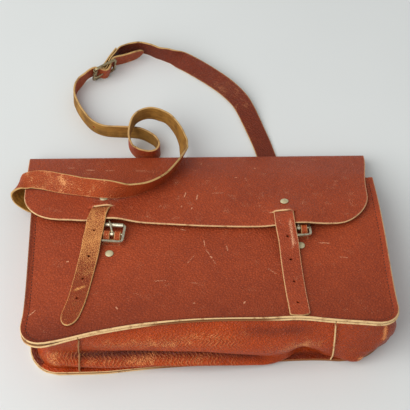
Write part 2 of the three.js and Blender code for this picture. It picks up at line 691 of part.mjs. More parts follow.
function frontPoint(x, y) {
  const { inset, nx, ny } = edgeOf(x, y, FRONT_CORNER.left);
  const turned = MARGIN - inset;
  if (turned <= 0) {
    return frontForm(x, y);
  }
  const turn = marginTurn(x, y, ny);
  const place = frontForm(x - nx * turned, y - ny * turned);
  const outward = point(nx, ny, 0).multiplyScalar(Math.cos(turn)).addScaledVector(UP, Math.sin(turn));
  return place.addScaledVector(outward, turned);
}

function frontGrid() {
  const drops = [0, 3.5, MARGIN, 11, 17, FRONT_CORNER.left, 38, 54, 72, 90, 108, 126, 144, 162, 180, 196];
  const rows = [...drops.map((drop) => BOTTOM + drop), MOUTH].reverse();
  const inner = COLUMNS.slice(1, -1);
  return rows.map((y) => {
    const inset = roundIn(FRONT_CORNER.left, y - BOTTOM);
    const left = LEFT + inset;
    const right = RIGHT - inset;
    const places = [left, left + MARGIN / 2, left + MARGIN];
    places.push(...inner.map((k) => mix(left + MARGIN, right - MARGIN, k)));
    places.push(right - MARGIN, right - MARGIN / 2, right);
    return places.map((x) => frontPoint(x, y)).reverse();
  });
}

// Seam lines of the gusset
function seamPlace(q, radius) {
  const stage = Math.min(Math.floor(q), 4);
  const k = q - stage;
  const lowLeft = BOTTOM + radius.left;
  const lowRight = BOTTOM + radius.right;
  const corner = (x, y, r, angle) => {
    const nx = -Math.cos(angle);
    const ny = -Math.sin(angle);
    return { x: x + nx * (r - MARGIN), y: y + ny * (r - MARGIN), nx, ny };
  };
  if (stage === 0) return { x: LEFT + MARGIN, y: mix(GUSSET_TOP, lowLeft, k), nx: -1, ny: 0 };
  if (stage === 1) return corner(LEFT + radius.left, lowLeft, radius.left, k * Math.PI / 2);
  if (stage === 2) {
    return { x: mix(LEFT + radius.left, RIGHT - radius.right, k), y: BOTTOM + MARGIN, nx: 0, ny: -1 };
  }
  if (stage === 3) return corner(RIGHT - radius.right, lowRight, radius.right, (1 + k) * Math.PI / 2);
  return { x: RIGHT - MARGIN, y: mix(lowRight, GUSSET_TOP, k), nx: 1, ny: 0 };
}

const FOLD_NAMES = Object.keys(FOLD_AT);
const foldStand = Object.fromEntries(FOLD_NAMES.map((name) => [name, reader(GUSSET_FOLDS, 'q', name)]));
const foldLag = reader(GUSSET_FOLDS, 'q', 'lag');
const foldRise = reader(GUSSET_FOLDS, 'q', 'rise');

// One section of the gusset, from the front flange's edge to the back flange's edge.
function gussetSection(q) {
  const front = seamPlace(q, FRONT_CORNER);
  const back = seamPlace(q + foldLag(q), BACK_CORNER);
  const turn = marginTurn(front.x, front.y, front.ny);
  const out = point(front.nx, front.ny, 0);
  const flange = out.clone().multiplyScalar(Math.cos(turn)).addScaledVector(UP, Math.sin(turn));
  const under = out.clone().multiplyScalar(Math.sin(turn)).addScaledVector(UP, -Math.cos(turn));
  const apart = (PANEL_T + GUSSET_T) / 2 + GAP;
  const frontRoot = frontForm(front.x, front.y).addScaledVector(under, apart);
  const backRoot = point(back.x, back.y - sagAt(back.x, back.y), PANEL_T + GAP + GUSSET_T / 2);
  const web = (share, stand) => backRoot.clone().lerp(frontRoot, share).addScaledVector(out, stand);
  const share = (name) => FOLD_AT[name] + FOLD_RISE[name] * foldRise(q);
  const folds = FOLD_NAMES.map((name) => web(share(name), foldStand[name](q)));
  const curve = smoothCurve([frontRoot, ...folds, backRoot]);
  const backOut = point(back.nx, back.ny, 0);
  return [
    frontRoot.clone().addScaledVector(flange, MARGIN - 0.6),
    ...WEB_STOPS.map((stop) => curve.getPoint(stop / (folds.length + 1))),
    backRoot.clone().addScaledVector(backOut, MARGIN - 0.6),
  ];
}

function gusset(stations) {
  return sheet(stations.map(gussetSection), GUSSET_T);
}

// Matrix of a place on a surface z(x, y): x to the right, z along the outward normal, turned about it.
function seated(heightAt, x, y, turn = 0) {
  const step = 3;
  const dx = point(2 * step, 0, heightAt(x + step, y) - heightAt(x - step, y));
  const dy = point(0, 2 * step, heightAt(x, y + step) - heightAt(x, y - step));
  const normal = dx.clone().cross(dy).normalize();
  const side = dx.addScaledVector(normal, -dx.dot(normal)).normalize();
  const matrix = new THREE.Matrix4().makeBasis(side, normal.clone().cross(side), normal);
  matrix.setPosition(x, y, heightAt(x, y));
  return matrix.multiply(new THREE.Matrix4().makeRotationZ(radians(turn)));
}

const flapTop = (x, y) => flapMiddle(x, y) + PANEL_T / 2;

// Closing straps
function closingRows(rows) {
  const apart = (PANEL_T + STRAP_T) / 2 + GAP;
  return rows.map((row) => {
    const z = {
      under: () => flapMiddle(row.x, row.y) - apart - 0.7,
      slit: () => flapMiddle(row.x, row.y),
      flap: () => flapMiddle(row.x, row.y) + apart + 0.7,
      panel: () => frontTop(row.x, row.y) + GAP + 0.2 + STRAP_T / 2,
    }[row.on]();
    const surface = row.on === 'panel' ? frontTop : flapMiddle;
    const slope = (surface(row.x + 8, row.y) - surface(row.x - 8, row.y)) / 16;
    const lean = 90 - THREE.MathUtils.radToDeg(Math.atan(slope));
    return { x: row.x, y: row.y, z: z + row.lift, lean, toward: 0 };
  });
}

const pointed = (width, thick, tip) => (at, length) => {
  const left = Math.max(length - at, 0.4);
  const share = left < tip ? Math.sqrt(1 - (1 - left / tip) ** 2) : 1;
  return { width: width * share, thick };
};

function closingStrap({ rows, holes, rivet, width, tip }) {
  const placed = closingRows(rows);
  const body = ribbon(strapSections(placed, 6, pointed(width, STRAP_T, tip)));
  const curve = smoothCurve(placed.map((row) => point(row.x, row.y, row.z)));
  const tools = holes.map((y) => {
    const spot = curve.getSpacedPoints(400).reduce((a, b) => (Math.abs(b.y - y) < Math.abs(a.y - y) ? b : a));
    return drill(new THREE.Matrix4().setPosition(spot), HOLE_R, 8);
  });
  tools.push(drill(seated(flapTop, rivet.x, rivet.y), RIVET.hole, 14));
  return cut(body, ...tools);
}

// Room for a strap or tab that passes through a panel
function slitBox(width, { y, half }) {
  return new THREE.BoxGeometry(width + 5.4 * GAP, 2 * half, 9).translate(0, y, 0);
}

// Rivets: a domed head outside, a shank and a foot behind the leather
function rivet(stack) {
  const deep = -stack - GAP;
  const outline = [
    [0, RIVET.dome + GAP],
    [RIVET.head * 0.55, RIVET.dome * 0.85 + GAP],
    [RIVET.head * 0.9, RIVET.dome * 0.45 + GAP],
    [RIVET.head, GAP],
    [RIVET.shank, GAP],
    [RIVET.shank, deep],
    [RIVET.foot, deep],
    [RIVET.foot, deep - RIVET.washer],
    [0, deep - RIVET.washer],
  ];
  const lathe = new THREE.LatheGeometry(outline.reverse().map(([r, h]) => new THREE.Vector2(r, h)), 8);
  return lathe.rotateX(Math.PI / 2);
}

// Buckles
function frameGeometry({ half, low }) {
  const { high, corner, bar, side, thick, bevel } = FRAME;
  const outer = new THREE.Shape();
  outer.moveTo(-half + corner, low);
  outer.lineTo(half - corner, low);
  outer.absarc(half - corner, low + corner, corner, -Math.PI / 2, 0);
  outer.lineTo(half, high - corner);
  outer.absarc(half - corner, high - corner, corner, 0, Math.PI / 2);
  outer.lineTo(-half + corner, high);
  outer.absarc(-half + corner, high - corner, corner, Math.PI / 2, Math.PI);
  outer.lineTo(-half, low + corner);
  outer.absarc(-half + corner, low + corner, corner, Math.PI, Math.PI * 1.5);
  const windowBetween = (from, to) => {
    const w = half - side;
    const hole = new THREE.Path();
    hole.moveTo(-w, from);
    hole.lineTo(-w, to);
    hole.lineTo(w, to);
    hole.lineTo(w, from);
    hole.closePath();
    return hole;
  };
  outer.holes.push(windowBetween(BAR_HALF, high - bar), windowBetween(low + bar, -BAR_HALF));
  const geometry = new THREE.ExtrudeGeometry(outer, {
    depth: thick - 2 * bevel,
    bevelEnabled: true,
    bevelThickness: bevel,
    bevelSize: bevel,
    bevelOffset: -bevel,
    bevelSegments: 1,
    curveSegments: 2,
  });
  return geometry.translate(0, 0, -(thick - 2 * bevel) / 2);
}

function ringAbout(radius, bore, half, sides) {
  const outline = [[bore, -half], [radius, -half], [radius, half], [bore, half], [bore, -half]];
  const lathe = new THREE.LatheGeometry(outline.map(([r, h]) => new THREE.Vector2(r, h)), sides);
  return lathe.rotateZ(Math.PI / 2);
}

function rollerGeometry({ half }) {
  return ringAbout(ROLLER.radius, ROLLER.bore, half - ROLLER.inset, 14).translate(0, ROLLER.y, 0);
}

// The prong rests on the roller and turns on the centre bar.
function prongPath(skew) {
  const rest = ROLLER.radius + GAP + PRONG.wire;
  const station = (y, z) => point(-y * Math.tan(radians(skew)), y, z);
  return new THREE.CatmullRomCurve3([
    station(1, 2.45), station(5, 3.4), station(9.5, rest), station(ROLLER.y, rest + 0.05),
    station(ROLLER.y + 3, rest - 0.35),
  ]);
}

function prongGeometry(skew = 0) {
  const section = new THREE.Shape();
  section.absarc(0, 0, PRONG.wire, 0, Math.PI * 2);
  const shank = new THREE.ExtrudeGeometry(section, {
    steps: 6, curveSegments: 4, bevelEnabled: false, extrudePath: prongPath(skew),
  });
  return join(ringAbout(PRONG.ring, PRONG.bore, PRONG.half, 12), shank);
}

// Room that the prong's ring needs in the leather that wraps the bar
function prongSlot() {
  const slot = new THREE.BoxGeometry(2 * PRONG.slot, 4.4 * PRONG.ring, 2 * (PRONG.ring + 1));
  return slot.translate(0, 4.3 - 2.2 * PRONG.ring, 0.6);
}

function tabSections(rows) {
  const curve = smoothCurve(rows.map((row) => point(0, row.y, row.z)));
  const across = point(1, 0, 0);
  return spread(0, 1, rows.length).map((t) => {
    const out = curve.getTangent(t).cross(across);
    return { middle: curve.getPoint(t), across, out, width: TAB_W, thick: TAB_T };
  });
}

function tabRows(tab) {
  const far = -tab - TAB_BEHIND.end;
  return [
    { y: far, z: TAB_BEHIND.low },
    ...TAB_FOLD,
    { y: far, z: TAB_BEHIND.high },
  ];
}

// Shoulder buckle: rows in the plane of its sections, carried to the table it lies on
const heading = radians(SHOULDER.heading);
const alongStrap = point(Math.cos(heading), Math.sin(heading), 0);
const towardBag = point(Math.sin(heading), -Math.cos(heading), 0);
const leaning = radians(SHOULDER.lean);
const upBuckle = UP.clone().multiplyScalar(Math.cos(leaning)).addScaledVector(towardBag, Math.sin(leaning));
const outOfBuckle = towardBag.clone().multiplyScalar(Math.cos(leaning)).addScaledVector(UP, -Math.sin(leaning));
const buckleCentre = point(SHOULDER.x, SHOULDER.y, SHOULDER.z);

function besideBuckle({ u, n, z }) {
  const place = buckleCentre.clone().addScaledVector(alongStrap, u).addScaledVector(outOfBuckle, n);
  place.addScaledVector(upBuckle, z - SHOULDER.z);
  return { x: place.x, y: place.y, z: place.z, lean: SHOULDER.lean, toward: SHOULDER.heading - 90 };
}

const shoulderMatrix = new THREE.Matrix4().makeBasis(upBuckle, alongStrap.clone().negate(), outOfBuckle);
shoulderMatrix.setPosition(buckleCentre);

function longStrap() {
  const rows = [...STRAP_LONG, ...TONGUE.map(besideBuckle)];
  const body = ribbon(strapSections(rows, 7, pointed(STRAP_W, STRAP_T, TONGUE_TIP)));
  const prongRoom = new THREE.Shape();
  prongRoom.absarc(0, 0, PRONG.wire + GAP + 0.1, 0, Math.PI * 2);
  const room = new THREE.ExtrudeGeometry(prongRoom, {
    steps: 6, curveSegments: 4, bevelEnabled: false, extrudePath: prongPath(0),
  }).applyMatrix4(shoulderMatrix);
  const punched = new THREE.CylinderGeometry(STRAP_HOLE.radius, STRAP_HOLE.radius, 14, 10)
    .rotateZ(radians(35)).translate(STRAP_HOLE.x, STRAP_HOLE.y, 10.6);
  return cut(body, room, punched);
}

function shortStrap() {
  const rows = [...CHAPE.map(besideBuckle), ...STRAP_SHORT];
  const size = (at) => ({
    width: STRAP_W - 2.5 * THREE.MathUtils.smoothstep(70 - at, 0, 25),
    thick: mix(SKIVED_T, STRAP_T, THREE.MathUtils.smoothstep(at, 66, 90)),
  });
  const body = ribbon(strapSections(rows, 7, size));
  return cut(body, prongSlot().applyMatrix4(shoulderMatrix));
}

// Assembly
const satchel = new THREE.Group();

function add(name, geometry, look) {
  const mesh = new THREE.Mesh(geometry, new THREE.MeshStandardMaterial(look));
  mesh.name = name;
  satchel.add(mesh);
}

const sides = ['left', 'right'];
const flapTools = [];
const frontTools = [];
for (const side of sides) {
  const strap = CLOSING[side];
  const rivetSeat = seated(flapTop, strap.rivet.x, strap.rivet.y);
  add(`closing_strap_${side}`, closingStrap(strap), STRAP_LEATHER);
  add(`flap_rivet_${side}`, rivet(PANEL_T + 4 * GAP + STRAP_T).applyMatrix4(rivetSeat), METAL);
  const slit = strap.rows.find((row) => row.on === 'slit');
  const slitSeat = seated(flapTop, slit.x, slit.y, strap.turn);
  flapTools.push(slitBox(strap.width, STRAP_SLIT).applyMatrix4(slitSeat), drill(rivetSeat, RIVET.hole, 5));

  const { x, y, turn, tab, skew } = BUCKLES[side];
  const seat = seated(frontTop, x, y, turn);
  const lifted = seat.clone().multiply(new THREE.Matrix4().makeTranslation(0, 0, BUCKLE_LIFT));
  const tabRivet = seat.clone().multiply(new THREE.Matrix4().makeTranslation(0, -tab, 0));
  const fold = ribbon(tabSections(tabRows(tab))).applyMatrix4(lifted);
  add(`buckle_frame_${side}`, frameGeometry(FRONT_BUCKLE).applyMatrix4(lifted), METAL);
  add(`buckle_roller_${side}`, rollerGeometry(FRONT_BUCKLE).applyMatrix4(lifted), METAL);
  add(`buckle_prong_${side}`, prongGeometry(skew).applyMatrix4(lifted), METAL);
  const tabBody = cut(fold, prongSlot().applyMatrix4(lifted), drill(tabRivet, RIVET.hole, 14));
  add(`buckle_tab_${side}`, tabBody, STRAP_LEATHER);
  const stack = -BUCKLE_LIFT - TAB_BEHIND.low + TAB_T / 2;
  add(`tab_rivet_${side}`, rivet(stack).applyMatrix4(tabRivet), METAL);
  frontTools.push(slitBox(TAB_W, TAB_SLIT).applyMatrix4(seat), drill(tabRivet, RIVET.hole, 8));
}
add('back_flap_panel', cut(sheet(backFlapGrid(), PANEL_T), ...flapTools), LEATHER);
add('front_panel', cut(sheet(frontGrid(), PANEL_T), ...frontTools), LEATHER);
const bottomStations = [
  ...spread(SEAM_LEFT + SEAM_GAP, DENT_FROM, 12),
  ...spread(DENT_FROM + 0.024, SEAM_RIGHT - SEAM_GAP, 12),
];
add('gusset_left', gusset(spread(0, SEAM_LEFT - SEAM_GAP, 17)), GUSSET_LEATHER);
add('gusset_bottom', gusset(bottomStations), GUSSET_LEATHER);
add('gusset_right', gusset(spread(SEAM_RIGHT + SEAM_GAP, 5, 17)), GUSSET_LEATHER);
add('shoulder_strap_long', longStrap(), STRAP_LEATHER);
add('shoulder_strap_short', shortStrap(), STRAP_LEATHER);
add('shoulder_buckle_frame', frameGeometry(SHOULDER).applyMatrix4(shoulderMatrix), METAL);
add('shoulder_buckle_roller', rollerGeometry(SHOULDER).applyMatrix4(shoulderMatrix), METAL);
add('shoulder_buckle_prong', prongGeometry().applyMatrix4(shoulderMatrix), METAL);

export default satchel;
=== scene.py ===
"""A worn leather satchel that lies on its back, with its shoulder strap thrown over the top edge.

Lengths in the tables are millimetres. +Z is up, +Y runs from the bottom of the bag to the fold at its
top and +X to the right of someone who faces the front panel.
"""
import logging
import math
from dataclasses import dataclass, field
from enum import Enum, IntEnum
from typing import Any, Callable, Iterable, Mapping, NamedTuple, Sequence, Union

import bmesh
import bpy
import numpy as np
from mathutils import Matrix, Vector


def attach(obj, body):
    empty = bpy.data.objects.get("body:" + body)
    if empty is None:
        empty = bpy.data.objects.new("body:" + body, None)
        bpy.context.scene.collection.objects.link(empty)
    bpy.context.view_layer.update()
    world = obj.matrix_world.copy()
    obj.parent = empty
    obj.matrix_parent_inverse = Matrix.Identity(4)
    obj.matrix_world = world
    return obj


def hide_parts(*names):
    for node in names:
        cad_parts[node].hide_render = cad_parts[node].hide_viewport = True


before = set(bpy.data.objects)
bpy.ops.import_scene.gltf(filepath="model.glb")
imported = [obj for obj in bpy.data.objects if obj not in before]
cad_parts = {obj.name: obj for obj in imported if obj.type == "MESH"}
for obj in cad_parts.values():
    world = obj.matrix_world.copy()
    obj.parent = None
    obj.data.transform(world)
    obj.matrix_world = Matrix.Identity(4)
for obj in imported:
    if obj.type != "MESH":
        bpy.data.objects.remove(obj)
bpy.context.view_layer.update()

LOG = logging.getLogger("satchel")
MM = 0.001
Array = np.ndarray
Object = bpy.types.Object
Material = bpy.types.Material
Colour = tuple[float, float, float, float]

# Thicknesses of the leathers, and the clearance between pieces
PANEL_T = 2.2
GUSSET_T = 1.8
STRAP_T = 2.0
SKIVED_T = 1.5
TAB_T = 1.5
GAP = 0.35

# Body of the bag
LEFT, RIGHT, BOTTOM, MOUTH = -186.0, 188.0, -131.0, 80.0
GUSSET_TOP = 76.0
MARGIN = 7.0
TURN_LEFT, TURN_RIGHT, TURN_BOTTOM, TURN_HALF = 9.0, 22.0, 54.0, 205.0
STRAP_TURN, STRAP_TURN_X, STRAP_TURN_REACH = 15.0, 90.0, 24.0
SAG_REACH = 90.0
FOLD_SKEW = 5.2
SEAM_LEFT, SEAM_RIGHT = 2.095, 2.885
STITCH_INSET = 5.4

# Flap
FLAP_LEFT, FLAP_RIGHT = -194.0, 179.0
FLAP_CORNER = 38.0
FLAP_DROOP = 3.4
FLAP_HALF = 190.0
TAPER_FROM, TAPER_BY = 110.0, 5.5

# Straps
STRAP_W = 20.5
HOLE_R, RIVET_HOLE_R = 1.8, 1.75
BUCKLE_LIFT, TAB_STACK = 5.6, 6.45


class Side(Enum):
    """Left or right, as seen by someone who faces the front panel."""

    LEFT = "left"
    RIGHT = "right"


class Face(IntEnum):
    """Material slots of a leather piece."""

    GRAIN = 0
    FLESH = 1
    EDGE = 2


class Corners(NamedTuple):
    """Corner radii of a panel's outline."""

    left: float
    right: float


BACK_CORNER = Corners(30.0, 54.0)
FRONT_CORNER = Corners(26.0, 26.0)


class On(Enum):
    """What a closing strap's station lies on."""

    UNDER = "under the flap"
    SLIT = "in the slit"
    FLAP = "on the flap"
    PANEL = "on the front panel"


class Row(NamedTuple):
    """A station of a strap. Its width leans from the vertical toward a compass direction."""

    x: float
    y: float
    z: float
    lean: float
    toward: float


class Bump(NamedTuple):
    """A place where what lies under the flap lifts it."""

    x: float
    y: float
    reach: float
    height: float


class Mark(NamedTuple):
    """A scuff at a place on the flat leather, turned by degrees."""

    x: float
    y: float
    length: float
    width: float
    angle: float
    strength: float


def smoothstep(value: Any, low: float, high: float) -> Any:
    """Smooth rise from 0 at low to 1 at high."""
    k = np.clip((value - low) / (high - low), 0, 1)
    return k * k * (3 - 2 * k)


def mix(a: Any, b: Any, k: Any) -> Any:
    """Straight blend from a to b."""
    return a + (b - a) * k


def round_in(radius: float, depth: Any) -> Any:
    """How far a rounded corner draws an edge in, at a depth from the other edge."""
    into = np.clip(radius - depth, 0, radius)
    return radius - np.sqrt(radius ** 2 - into ** 2)


def unit(vectors: Array) -> Array:
    """Vectors made one long."""
    return vectors / np.maximum(np.linalg.norm(vectors, axis=-1, keepdims=True), 1e-12)


def bell(value: Any, middle: Any, reach: float) -> Any:
    """Smooth bump, 1 at its middle and nearly gone at twice its reach."""
    return np.exp(-((value - middle) / reach) ** 2)


def band(value: Any, low: float, high: float) -> Any:
    """1 between low and high, with soft ends."""
    return smoothstep(value, low - 0.06, low + 0.06) * smoothstep(-value, -high, 0.1 - high)


def lengths_along(points: Array) -> Array:
    """Lengths along a line of points, from its first one."""
    return np.concatenate([[0], np.cumsum(np.linalg.norm(np.diff(points, axis=0), axis=1))])


def read_along(values: Array, run: Array, at: Array) -> Array:
    """Vectors that are known at lengths along a line, read at other lengths."""
    return np.stack([np.interp(at, run, column) for column in values.T], -1)


def catmull(points: Array, stops: Array) -> tuple[Array, Array]:
    """A smooth curve through points.

    Args:
        points: places that the curve passes, the last two axes being row and coordinate.
        stops: where to read the curve, counted in rows.

    Returns:
        The places and the directions of the curve at the stops.
    """
    ends = (2 * points[..., :1, :] - points[..., 1:2, :], 2 * points[..., -1:, :] - points[..., -2:-1, :])
    padded = np.concatenate([ends[0], points, ends[1]], axis=-2)
    at = np.minimum(np.asarray(stops).astype(int), points.shape[-2] - 2)
    k = (np.asarray(stops) - at)[:, None]
    p = [padded[..., at + j, :] for j in range(4)]
    apart = [np.linalg.norm(p[j + 1] - p[j], axis=-1, keepdims=True) for j in range(3)]
    gap = [np.sqrt(np.maximum(length, 1e-9)) for length in apart]
    t1 = ((p[1] - p[0]) / gap[0] - (p[2] - p[0]) / (gap[0] + gap[1]) + (p[2] - p[1]) / gap[1]) * gap[1]
    t2 = ((p[2] - p[1]) / gap[1] - (p[3] - p[1]) / (gap[1] + gap[2]) + (p[3] - p[2]) / gap[2]) * gap[1]
    c2 = 3 * (p[2] - p[1]) - 2 * t1 - t2
    c3 = 2 * (p[1] - p[2]) + t1 + t2
    return p[1] + k * (t1 + k * (c2 + k * c3)), unit(t1 + k * (2 * c2 + 3 * k * c3))


class Table:
    """Columns of numbers, read as smooth functions of the first column."""

    def __init__(self, columns: str, *rows: Sequence[float]) -> None:
        """Keep the rows, the first column rising.

        Args:
            columns: names of the columns, with spaces between them.
            rows: a number for each column.
        """
        self.names = columns.split()
        values = np.array(rows, float)
        self.values = values if values[0, 0] < values[-1, 0] else values[::-1]

    def read(self, column: str, at: Any) -> Any:
        """Value of a column.

        Args:
            column: the column's name.
            at: value of the first column.

        Returns:
            The column's value there.
        """
        key = self.values[:, 0]
        value = self.values[:, self.names.index(column)]
        step = np.diff(value) / np.diff(key)
        slope = np.concatenate([step[:1], (value[2:] - value[:-2]) / (key[2:] - key[:-2]), step[-1:]])
        i = np.clip(np.searchsorted(key, at) - 1, 0, len(key) - 2)
        span = key[i + 1] - key[i]
        k = np.clip((at - key[i]) / span, 0, 1)
        rise = value[i] * (2 * k ** 3 - 3 * k ** 2 + 1) + value[i + 1] * (3 * k ** 2 - 2 * k ** 3)
        return rise + span * (slope[i] * (k ** 3 - 2 * k ** 2 + k) + slope[i + 1] * (k ** 3 - k ** 2))


class Ripple:
    """Smooth seeded noise over a plane, about -1 to 1."""

    size = 64

    def __init__(self, seed: int) -> None:
        """Draw the heights of the lattice's corners."""
        self.lattice = np.random.default_rng(seed).uniform(-1, 1, (self.size, self.size))

    def _corner(self, i: Any, j: Any) -> Any:
        """Height of a corner of the lattice, which repeats."""
        return self.lattice[i % self.size, j % self.size]

    def at(self, u: Any, v: Any) -> Any:
        """Noise at a place.

        Args:
            u: the place, with one bump per unit.
            v: the place the other way.

        Returns:
            The noise.
        """
        i, j = np.floor(u).astype(int), np.floor(v).astype(int)
        fu, fv = smoothstep(u - i, 0, 1), smoothstep(v - j, 0, 1)
        near = mix(self._corner(i, j), self._corner(i + 1, j), fu)
        far = mix(self._corner(i, j + 1), self._corner(i + 1, j + 1), fu)
        return mix(near, far, fv)


# Shapes of the leathers. PROFILE is the side view of the back, fold and flap, as x, y and z.
PROFILE = np.array([
    (0, -131, 1.1), (0, 0, 1.1), (0, 60, 1.1), (0, 85, 1.1), (0, 98, 2.8), (0, 106, 4.4), (0, 115, 5.6),
    (0, 123, 7.2), (0, 127, 10.5), (0, 124, 15), (0, 115, 21), (0, 98, 31.5), (0, 82, 40.2), (0, 66, 47),
    (0, 35, 57), (0, 0, 63.6), (0, -24, 66.5),
], float)
FLAP_EDGE = Table(
    "x y", (-194, 20), (-165, 20), (-145, 18.4), (-126, 15.8), (-90, 13.5), (-64, 10.4), (-36, 7.6), (0, 4.4),
    (52, 2.2), (95, 2), (130, 4.5), (179, 9),
)
FLAP_BUMPS = (Bump(-109, 44, 20, 2.4), Bump(-99, 10, 20, 7), Bump(83, 32, 20, 2.6), Bump(97, 6, 24, 7.6))
FRONT_FORM = Table(
    "y left mid right", (80, 33.5, 35, 33.5), (35, 47, 50, 47), (0, 53, 57, 53), (-45, 58, 64.5, 59),
    (-90, 61, 70.5, 64), (-124, 62.5, 76.5, 67.5),
)
FRONT_DIP = Table(
    "x dip", (-186, -5.4), (-150, -3.7), (-110, 3), (-60, 9), (0, 12), (90, 11), (135, 9.4), (165, 8),
    (188, 5),
)
FRONT_FLARE = Table(
    "y left right", (80, 0, -5), (35, 0, -2.5), (0, 0, -0.5), (-60, 0.8, 1.5), (-90, 2.4, 3),
    (-108, 5.4, 4.8), (-131, 10.5, 8),
)
BACK_SAG = Table(
    "x sag", (-186, 3), (-110, 3.2), (-85, 1), (-50, -2), (0, -4), (60, -6), (95, -7), (120, -6.4),
    (150, -3.4), (188, 0),
)
GUSSET_FOLDS = Table(
    "q lobe lip crease roll lag rise", (0, -6, -14, -13, -8, 0, 0), (0.5, -5, -10, -9, -5, 0, 0),
    (1, -7, -10, -10, -5, 0, 0), (1.5, -9, -12, -11, -5, 0, 0.08), (1.75, -6, -8, -8, -1, 0, 0.17),
    (2, -3, -5, -6, 2, 0.015, 0.2), (2.1, 1, -1, -6, 5, -0.02, 0.16), (2.2, 7, 4, -6, 9, 0.003, 0.14),
    (2.35, 11, 9, -6, 12, 0.023, 0.1), (2.5, 14, 13, -4, 14.5, 0.039, 0.09),
    (2.63, 13, 12, -1, 12, 0.055, -0.04), (2.69, 12, 11, 5, 10, 0.063, -0.1),
    (2.745, 11, 9, 4, 5, 0.069, -0.06), (2.792, 9, 4, -6, -5, 0.074, -0.035),
    (2.832, 7, 6, -2, -4, 0.08, -0.07), (2.875, 6, 7, 4, 1, 0.084, -0.12), (2.98, 4, 7, 9, 9, 0.14, 0),
    (3.2, 6, 7, 7.5, 7, 0.1, 0), (3.5, 9, 9, 9, 8.5, 0, 0), (3.65, 10, 10.5, 11, 9.5, -0.05, 0),
    (3.8, 9, 10, 9.5, 8.5, -0.1, 0), (4, 6, 6.5, 5.5, 6, -0.14, 0), (4.25, 0, -2, -3, 0, -0.12, 0),
    (4.5, -5, -9, -10, -4, -0.09, 0), (5, -6, -12, -14, -6, 0, 0),
)
GUSSET_PEEK = Table(
    "q reach drop", (0, 0, 0), (1.1, 0, 0), (1.5, 1.6, 0.9), (2.0, 1.6, 1.1), (2.07, 0, 0),
    (2.25, -0.6, 0), (2.36, -2.4, 0), (2.66, -2.4, 0), (2.76, 0, 0), (3.4, 0.4, 0.3), (4, 0, 0), (5, 0, 0),
)
FOLD_AT = {"lobe": 0.64, "lip": 0.4, "crease": 0.25, "roll": 0.11}
FOLD_RISE = {"lobe": 0.55, "lip": 1.0, "crease": 1.0, "roll": 0.7}


class SideView:
    """The side view of the back, fold and flap, read by length along it."""

    def __init__(self) -> None:
        """Read the side view at even lengths and find the fold."""
        dense, _ = catmull(PROFILE, np.linspace(0, len(PROFILE) - 1, 4001))
        run = lengths_along(dense)
        self.s = np.linspace(0, run[-1], 2401)
        self.y = np.interp(self.s, run, dense[:, 1])
        self.z = np.interp(self.s, run, dense[:, 2])
        self.fold = int(np.argmax(self.y))
        self.fold_s = float(self.s[self.fold])

    def place(self, s: Any) -> tuple[Any, Any]:
        """y and z at a length."""
        return np.interp(s, self.s, self.y), np.interp(s, self.s, self.z)

    def over(self, y: Any) -> Any:
        """Height of the flap over a place."""
        return np.interp(-np.asarray(y), -self.y[self.fold:], self.z[self.fold:])

    def length_to(self, y: Any) -> Any:
        """Length to a place on the flap."""
        return np.interp(-np.asarray(y), -self.y[self.fold:], self.s[self.fold:])


SIDE_VIEW = SideView()


def flap_bump(x: Any, y: Any) -> Any:
    """How far what lies under the flap lifts it over a place in plan."""
    return sum(b.height * np.exp(-((x - b.x) ** 2 + (y - b.y) ** 2) / b.reach ** 2) for b in FLAP_BUMPS)


def flap_middle(x: Any, y: Any) -> Any:
    """Height of the flap's middle over a place in plan."""
    z = SIDE_VIEW.over(y)
    return z + smoothstep(z, 12, 40) * (flap_bump(x, y) - FLAP_DROOP * (x / FLAP_HALF) ** 2)


def flap_top(x: Any, y: Any) -> Any:
    """Height of the flap's outer face."""
    return flap_middle(x, y) + PANEL_T / 2


def sag_at(x: Any, y: Any) -> Any:
    """How far the back panel sags at its bottom edge."""
    return BACK_SAG.read("sag", x) * np.clip(1 - (y - BOTTOM) / SAG_REACH, 0, 1) ** 2


def drawn_in(x: Any, s: Any) -> Any:
    """x on the back and flap, the flap's right edge drawn in below the fold."""
    below = smoothstep(s, SIDE_VIEW.fold_s + 8, SIDE_VIEW.fold_s + 80)
    return x - TAPER_BY * below * smoothstep(x, TAPER_FROM, FLAP_RIGHT)


def back_point(x: Array, s: Array) -> Array:
    """Places on the middle of the back and flap.

    Args:
        x: the place across.
        s: the length along the side view.

    Returns:
        The places.
    """
    y, z = SIDE_VIEW.place(s)
    skew = FOLD_SKEW * x / (FLAP_RIGHT - FLAP_LEFT) * smoothstep(y, 70, 120)
    on_flap = s > SIDE_VIEW.fold_s
    height = np.where(on_flap, flap_middle(x, y), np.maximum(z, PANEL_T / 2))
    return np.stack([x + 0 * s, y - skew - np.where(on_flap, 0, sag_at(x, y)), height], axis=-1)


def across_front(x: Any) -> Any:
    """-1 at the front panel's left edge, 1 at its right edge."""
    return (x - (LEFT + RIGHT) / 2) / ((RIGHT - LEFT) / 2)


def front_middle(x: Any, y: Any) -> Any:
    """Height of the front panel's middle over a place on the flat panel."""
    edge = np.where(across_front(x) < 0, FRONT_FORM.read("left", y), FRONT_FORM.read("right", y))
    return mix(FRONT_FORM.read("mid", y), edge, across_front(x) ** 2)


def front_form(x: Any, y: Any) -> Array:
    """Places on the front panel without its turned margin.

    Args:
        x: place across the flat panel.
        y: place up the flat panel.

    Returns:
        The places.
    """
    drop = (MOUTH - y) / (MOUTH - BOTTOM)
    side = across_front(x)
    flare = np.where(side < 0, -FRONT_FLARE.read("left", y), FRONT_FLARE.read("right", y)) * side ** 4
    dip = FRONT_DIP.read("dip", x) * drop ** 2
    return np.stack(np.broadcast_arrays(x + flare, y + dip, front_middle(x, y)), -1)


